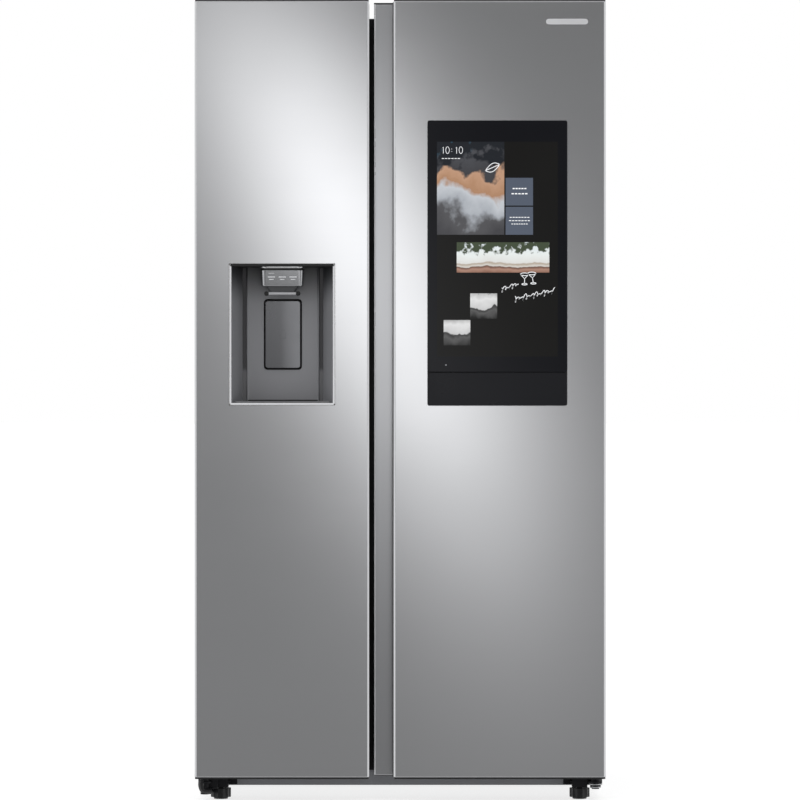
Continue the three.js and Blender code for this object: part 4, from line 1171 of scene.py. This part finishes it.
def chute():
    """The tapering ice chute, and the bar with black ends under its front."""
    low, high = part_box("ice_chute")
    y = (low.y + 2 * MM, high.y)

    def level(half, z, front=0.0):
        return [
            (x, v, z)
            for x, v in rounded(MIDDLE - half * MM, MIDDLE + half * MM, y[0] + front, y[1], 8 * MM, 6)
        ]

    outside = loft("chute_shell", [level(29, low.z + 8.6 * MM, 2 * MM), level(35.6, high.z)])
    hole = loft("chute_hole", [level(24, low.z + 4 * MM, 6 * MM), level(24, high.z - 4 * MM, 6 * MM)])
    shell = place(soften(cut(outside, hole), 0.8), "freezer_door", CHUTE_GREY, "black_plastic")
    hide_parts("ice_chute")
    bar_z = low.z + 5 * MM
    bar_y = y[0] + 3.5 * MM
    bar = turned(
        "chute_bar",
        [(0, 0), (3.4, 0), (3.7, 0.4), (3.7, 60.6), (3.4, 61), (0, 61)],
        (MIDDLE - 30.5 * MM, bar_y, bar_z),
        "x",
        24,
    )
    place(bar, "freezer_door", BAR_GREY, "silver_plastic")
    ball = [(0, -5.2), (2.2, -4.8), (3.9, -3.6), (4.9, -1.7), (4.9, 1.7), (3.9, 3.6), (2.2, 4.8), (0, 5.2)]
    for side, name in ((-1, "left"), (1, "right")):
        knob = turned(f"chute_bar_{name}_end", ball, (MIDDLE + side * 35 * MM, bar_y, bar_z), "x", 28)
        place(knob, "freezer_door", BLACK_AND_PAINTED_SHADE, "black_plastic")


CHUTE_GREY = moulded("chute_grey", (0.035, 0.036, 0.039), 0.4)
BAR_GREY = moulded("bar_satin", (0.42, 0.425, 0.44), 0.3, 700, 0.02, Metallic=0.8)

# Painted shade: the recess walls turn dark over this span below the ceiling.
WELL_SHADE = (OPEN_Z[1] - 88 * MM, OPEN_Z[1] - 4 * MM)
WELL_PAINTED_SHADE_GREY = painted_shade_grey("dispenser_well_painted_shade", (0.158, 0.160, 0.170), (0.026, 0.027, 0.030), WELL_SHADE, 0.4)
# Painted shade for the corner grooves: a dark grey, darker still above the grooves' deeper part.
GROOVE_PAINTED_SHADE_GREY = painted_shade_grey(
    "groove_painted_shade",
    (0.085, 0.086, 0.091),
    (0.025, 0.025, 0.028),
    (GROOVE_FOOT - 6 * MM, GROOVE_FOOT + 6 * MM),
    0.5,
)

dispenser()
paddle()
panel()
chute()

# ---------- display ----------

GLASS_LOW, GLASS_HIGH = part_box("display_glass")
COVER_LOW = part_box("display_housing")[0]
SCREEN_INSET = (21.2 * MM, 47.2 * MM, 34.2 * MM)  # side, top and bottom borders of the lit area
SCREEN_X = (GLASS_LOW.x + SCREEN_INSET[0], GLASS_HIGH.x - SCREEN_INSET[0])
SCREEN_Z = (GLASS_LOW.z + SCREEN_INSET[2], GLASS_HIGH.z - SCREEN_INSET[1])


def picture(name, tones, blobs, scale, blob_tone, bands=1.4, cover=(0.40, 0.50)):
    """A generic landscape for the screen: layers of tone with wavy edges, and scattered darker foliage."""
    f = Finish(name, Roughness=0.25, Specular_IOR_Level=0.1)
    wave = f.noise(scale, 5.0, (1, 1, 0.8))
    z = f.axis("Z")
    low, high = PICTURE_SPAN[name]
    height = f.span(z, low, high)
    layered = f.math("ADD", height, f.math("MULTIPLY", f.math("SUBTRACT", wave, 0.5), bands))
    colour = f.ramp(layered, tones)
    leaf = f.noise(scale * 4.5, 3.0)
    spread = f.span(f.math("MULTIPLY", leaf, f.span(height, blobs[0], blobs[1])), *cover)
    f.colour(f.mix(spread, colour, blob_tone))
    return f.material


def lit(name, x, z, material, layer):
    """A thin lit area on the glass; x and z are shares of the screen's width and height, from its upper left."""
    width, height = SCREEN_X[1] - SCREEN_X[0], SCREEN_Z[1] - SCREEN_Z[0]
    xs = tuple(SCREEN_X[0] + width * v for v in x)
    zs = tuple(SCREEN_Z[1] - height * v for v in z[::-1])
    y = GLASS_LOW.y + (0.36 - 0.12 * layer) * MM
    tile = front_plate(name, xs, zs, (y, y + 0.1 * MM), 0.4 * MM)
    PICTURE_SPAN[name] = zs
    if callable(material):
        material = material(name)
    return place(tile, "fridge_door", material, "black_glass")


PICTURE_SPAN = {}


def line_mark(points, width, y):
    """Corners of a flat ribbon through points, for drawn strokes."""
    half = width / 2
    left, right = [], []
    for i, (x, z) in enumerate(points):
        a = Vector(points[max(i - 1, 0)])
        b = Vector(points[min(i + 1, len(points) - 1)])
        along = (b - a).normalized()
        left.append((x - along.y * half, y, z + along.x * half))
        right.append((x + along.y * half, y, z - along.x * half))
    return left, right


def strokes(name, lines, width, y, thick=0.1 * MM):
    bm = bmesh.new()
    for points in lines:
        sides = line_mark(points, width, y)
        front = [[bm.verts.new(p) for p in side] for side in sides]
        back = [[bm.verts.new((p[0], p[1] + thick, p[2])) for p in side] for side in sides]
        for i in range(len(points) - 1):
            bm.faces.new((front[0][i], front[0][i + 1], front[1][i + 1], front[1][i]))
            bm.faces.new((back[0][i], back[1][i], back[1][i + 1], back[0][i + 1]))
            bm.faces.new((front[0][i], back[0][i], back[0][i + 1], front[0][i + 1]))
            bm.faces.new((front[1][i], front[1][i + 1], back[1][i + 1], back[1][i]))
        for end in (0, -1):
            bm.faces.new((front[0][end], front[1][end], back[1][end], back[0][end]))
    return mesh_object(name, bm)


def arc_points(x, z, rx, rz, start, end, count=16):
    turn = [math.radians(start + (end - start) * i / count) for i in range(count + 1)]
    return [(x + rx * math.cos(a), z + rz * math.sin(a)) for a in turn]


def display():
    glass_y = GLASS_LOW.y + 0.4 * MM
    x = (GLASS_LOW.x, GLASS_HIGH.x)
    glass = front_plate(
        "cover_glass", x, (GLASS_LOW.z, GLASS_HIGH.z), (glass_y, GLASS_HIGH.y), 4.5 * MM, 1.2 * MM
    )
    place(glass, "fridge_door", GLASS, "black_glass")
    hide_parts("display_glass")
    cover_x = (x[0] + 1.2 * MM, x[1] - 1.2 * MM)
    cover = front_plate(
        "lower_cover",
        cover_x,
        (COVER_LOW.z, GLASS_LOW.z - 1.2 * MM),
        (COVER_LOW.y, COVER_LOW.y + 4 * MM),
        4.5 * MM,
        1.5 * MM,
    )
    place(cover, "fridge_door", COVER, "black_plastic")
    rim = front_plate(
        "display_rim",
        x,
        (COVER_LOW.z, GLASS_HIGH.z),
        (GLASS_HIGH.y + 0.1 * MM, DOOR_FRONT - 0.2 * MM),
        4.5 * MM,
        0.4 * MM,
    )
    place(rim, "fridge_door", BLACK_AND_PAINTED_SHADE, "black_plastic")
    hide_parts("display_housing")
    lamp = turned(
        "standby_lamp",
        [(0, -0.12), (1.0, -0.12), (1.3, 0.1), (0, 0.1)],
        (x[0] + 41 * MM, glass_y, GLASS_LOW.z + 15.5 * MM),
        "y",
        20,
    )
    place(lamp, "fridge_door", FAINT_INK, "black_glass")
    lit("screen", (0, 1), (0, 1), SCREEN, 0)


def grey(value):
    return (value, value, value)


def pictures():
    def large(name):
        tones = [
            (0.0, (0.050, 0.050, 0.055)),
            (0.20, (0.075, 0.075, 0.080)),
            (0.30, (0.33, 0.35, 0.38)),
            (0.46, (0.44, 0.46, 0.49)),
            (0.54, (0.34, 0.19, 0.11)),
            (0.66, (0.42, 0.25, 0.16)),
            (0.70, (0.045, 0.045, 0.05)),
            (0.88, (0.06, 0.062, 0.07)),
            (1.0, (0.03, 0.085, 0.13)),
        ]
        return picture(name, tones, (0.3, 0.9), 9, (0.014, 0.016, 0.02), 1.25)

    def terrace(name):
        tones = [
            (0.0, (0.20, 0.10, 0.07)),
            (0.12, (0.34, 0.20, 0.15)),
            (0.19, (0.12, 0.06, 0.045)),
            (0.22, (0.56, 0.54, 0.50)),
            (0.30, (0.36, 0.30, 0.24)),
            (0.34, (0.60, 0.60, 0.58)),
            (0.60, (0.66, 0.69, 0.68)),
            (1.0, (0.60, 0.66, 0.69)),
        ]
        return picture(name, tones, (0.15, 0.95), 20, (0.05, 0.065, 0.04), 0.35, (0.31, 0.40))

    def hills(name):
        tones = [
            (0.0, grey(0.015)),
            (0.3, grey(0.09)),
            (0.42, grey(0.04)),
            (0.46, grey(0.48)),
            (0.75, grey(0.62)),
            (1.0, grey(0.36)),
        ]
        return picture(name, tones, (0.5, 1.2), 28, grey(0.02), 0.8)

    lit("large_picture", (0, 0.557), (0, 0.433), large, 1)
    lit("terrace_picture", (0.163, 0.93), (0.468, 0.609), terrace, 1)
    lit("hill_picture_upper", (0.275, 0.498), (0.706, 0.824), hills, 1)
    lit("hill_picture_lower", (0.055, 0.276), (0.83, 0.948), hills, 1)
    slate = moulded("note_slate", (0.062, 0.078, 0.112), 0.3, 300, 0.01)
    lit("note_upper", (0.568, 0.795), (0.168, 0.297), slate, 1)
    lit("note_lower", (0.568, 0.795), (0.303, 0.433), slate, 1)


def on_screen(u, v):
    """A point on the screen from shares of its width and height, measured from its upper left."""
    return SCREEN_X[0] + (SCREEN_X[1] - SCREEN_X[0]) * u, SCREEN_Z[1] - (SCREEN_Z[1] - SCREEN_Z[0]) * v


def marks():
    """Generic drawn marks: lines for words on the notes, a scribble, two stemmed glasses, a leaf and the clock."""
    y = GLASS_LOW.y + 0.1 * MM
    rows = []
    for centre, top, widths, thick in (
        (0.685, 0.218, (0.12, 0.14), 2.6), (0.685, 0.352, (0.17, 0.18, 0.14), 1.7)
    ):
        for i, wide in enumerate(widths):
            pitch, dashes = (0.024, 5) if thick > 2 else (0.0155, 7)
            a = on_screen(centre - wide / 2, top + i * pitch)
            b = on_screen(centre + wide / 2, top + i * pitch)
            for k in range(dashes):
                lo = a[0] + (b[0] - a[0]) * (k + 0.06) / dashes
                hi = a[0] + (b[0] - a[0]) * (k + 0.78) / dashes
                rows.append(((lo, y, a[1] - thick * MM / 2), (hi, y + 0.1 * MM, a[1] + thick * MM / 2)))
    under = on_screen(0.04, 0.078)
    for k in range(6):
        lo = under[0] + k * 7 * MM
        rows.append(((lo, y, under[1] - 0.8 * MM), (lo + 5 * MM, y + 0.1 * MM, under[1] + 0.8 * MM)))
    place(blocks("note_lines", rows, 0.02, 1), "fridge_door", INK, "black_glass")

    drawn = []
    for line, (u0, u1, v0, v1, loops, tall) in enumerate(
        ((0.53, 0.67, 0.69, 0.665, 5, 7.0), (0.64, 0.97, 0.735, 0.695, 11, 8.0))
    ):
        a, b = on_screen(u0, v0), on_screen(u1, v1)
        stroke = []
        for i in range(loops * 14 + 1):
            t = i / (loops * 14)
            turn = 2 * math.pi * loops * t
            height = tall * (0.55 + 0.45 * math.sin(turn / 2.7 + line)) * MM
            stroke.append(
                (
                    a[0] + (b[0] - a[0]) * t + 2.4 * MM * math.sin(turn + 0.8),
                    a[1] + (b[1] - a[1]) * t + height * math.cos(turn),
                )
            )
        drawn.append(stroke)
    for u, v, lean in ((0.725, 0.617, 0.0), (0.785, 0.613, 3.5)):
        x, z = on_screen(u, v)
        drawn.append(arc_points(x, z, 9 * MM, 3.0 * MM, 0, 360, 24))
        drawn.append(
            [(x - 9 * MM, z - 0.4 * MM), (x + lean * 0.4 * MM, z - 10 * MM), (x + 9 * MM, z - 0.4 * MM)]
        )
        drawn.append([(x + lean * 0.4 * MM, z - 10 * MM), (x + lean * MM, z - 22 * MM)])
        drawn.append(arc_points(x + lean * MM, z - 22 * MM, 6 * MM, 1.6 * MM, 0, 360, 16))
    x, z = on_screen(0.46, 0.12)
    for flip in (1, -1):
        edge = []
        for i in range(17):
            swell = flip * 9 * MM * math.sin(math.pi * i / 16)
            edge.append((x - 16 * MM + 32 * MM * i / 16, z + 14 * MM * (i / 16 - 0.5) + swell))
        drawn.append(edge)
    drawn.append([(x - 16 * MM, z - 7 * MM), (x + 16 * MM, z + 7 * MM)])
    place(strokes("drawn_marks", drawn, 1.5 * MM, y), "fridge_door", INK, "black_glass")

    place(clock_digits(on_screen(0.038, 0.055), 15 * MM, y), "fridge_door", INK, "black_glass")


def clock_digits(corner, height, y):
    """Clock figures 10:10 drawn in thin strokes."""
    x, z = corner
    half = height * 0.26
    lines = []
    for k, figure in enumerate("10:10"):
        middle = x + half + k * height * 0.62 + (0.1 * height if k > 2 else 0)
        if figure == "1":
            lines.append([(middle - half * 0.5, z + height * 0.8), (middle, z + height), (middle, z)])
        elif figure == "0":
            lines.append(arc_points(middle, z + height / 2, half, height / 2, 90, 450, 28))
        else:
            lines.append([(middle, z + height * 0.25), (middle, z + height * 0.34)])
            lines.append([(middle, z + height * 0.62), (middle, z + height * 0.71)])
    return strokes("clock_figures", lines, 1.1 * MM, y)


def nameplate():
    """A plain blank nameplate near the fridge door's upper corner."""
    low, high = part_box("fridge_door_skin")
    x = (high.x - 132.5 * MM, high.x - 39.5 * MM)
    z = (high.z - 52 * MM, high.z - 39.5 * MM)
    plate = front_plate("nameplate", x, z, (DOOR_FRONT - 0.6 * MM, DOOR_FRONT + 0.2 * MM), 6 * MM, 0.4 * MM)
    place(plate, "fridge_door", PLATE_SATIN, "stainless")


display()
pictures()
marks()
nameplate()
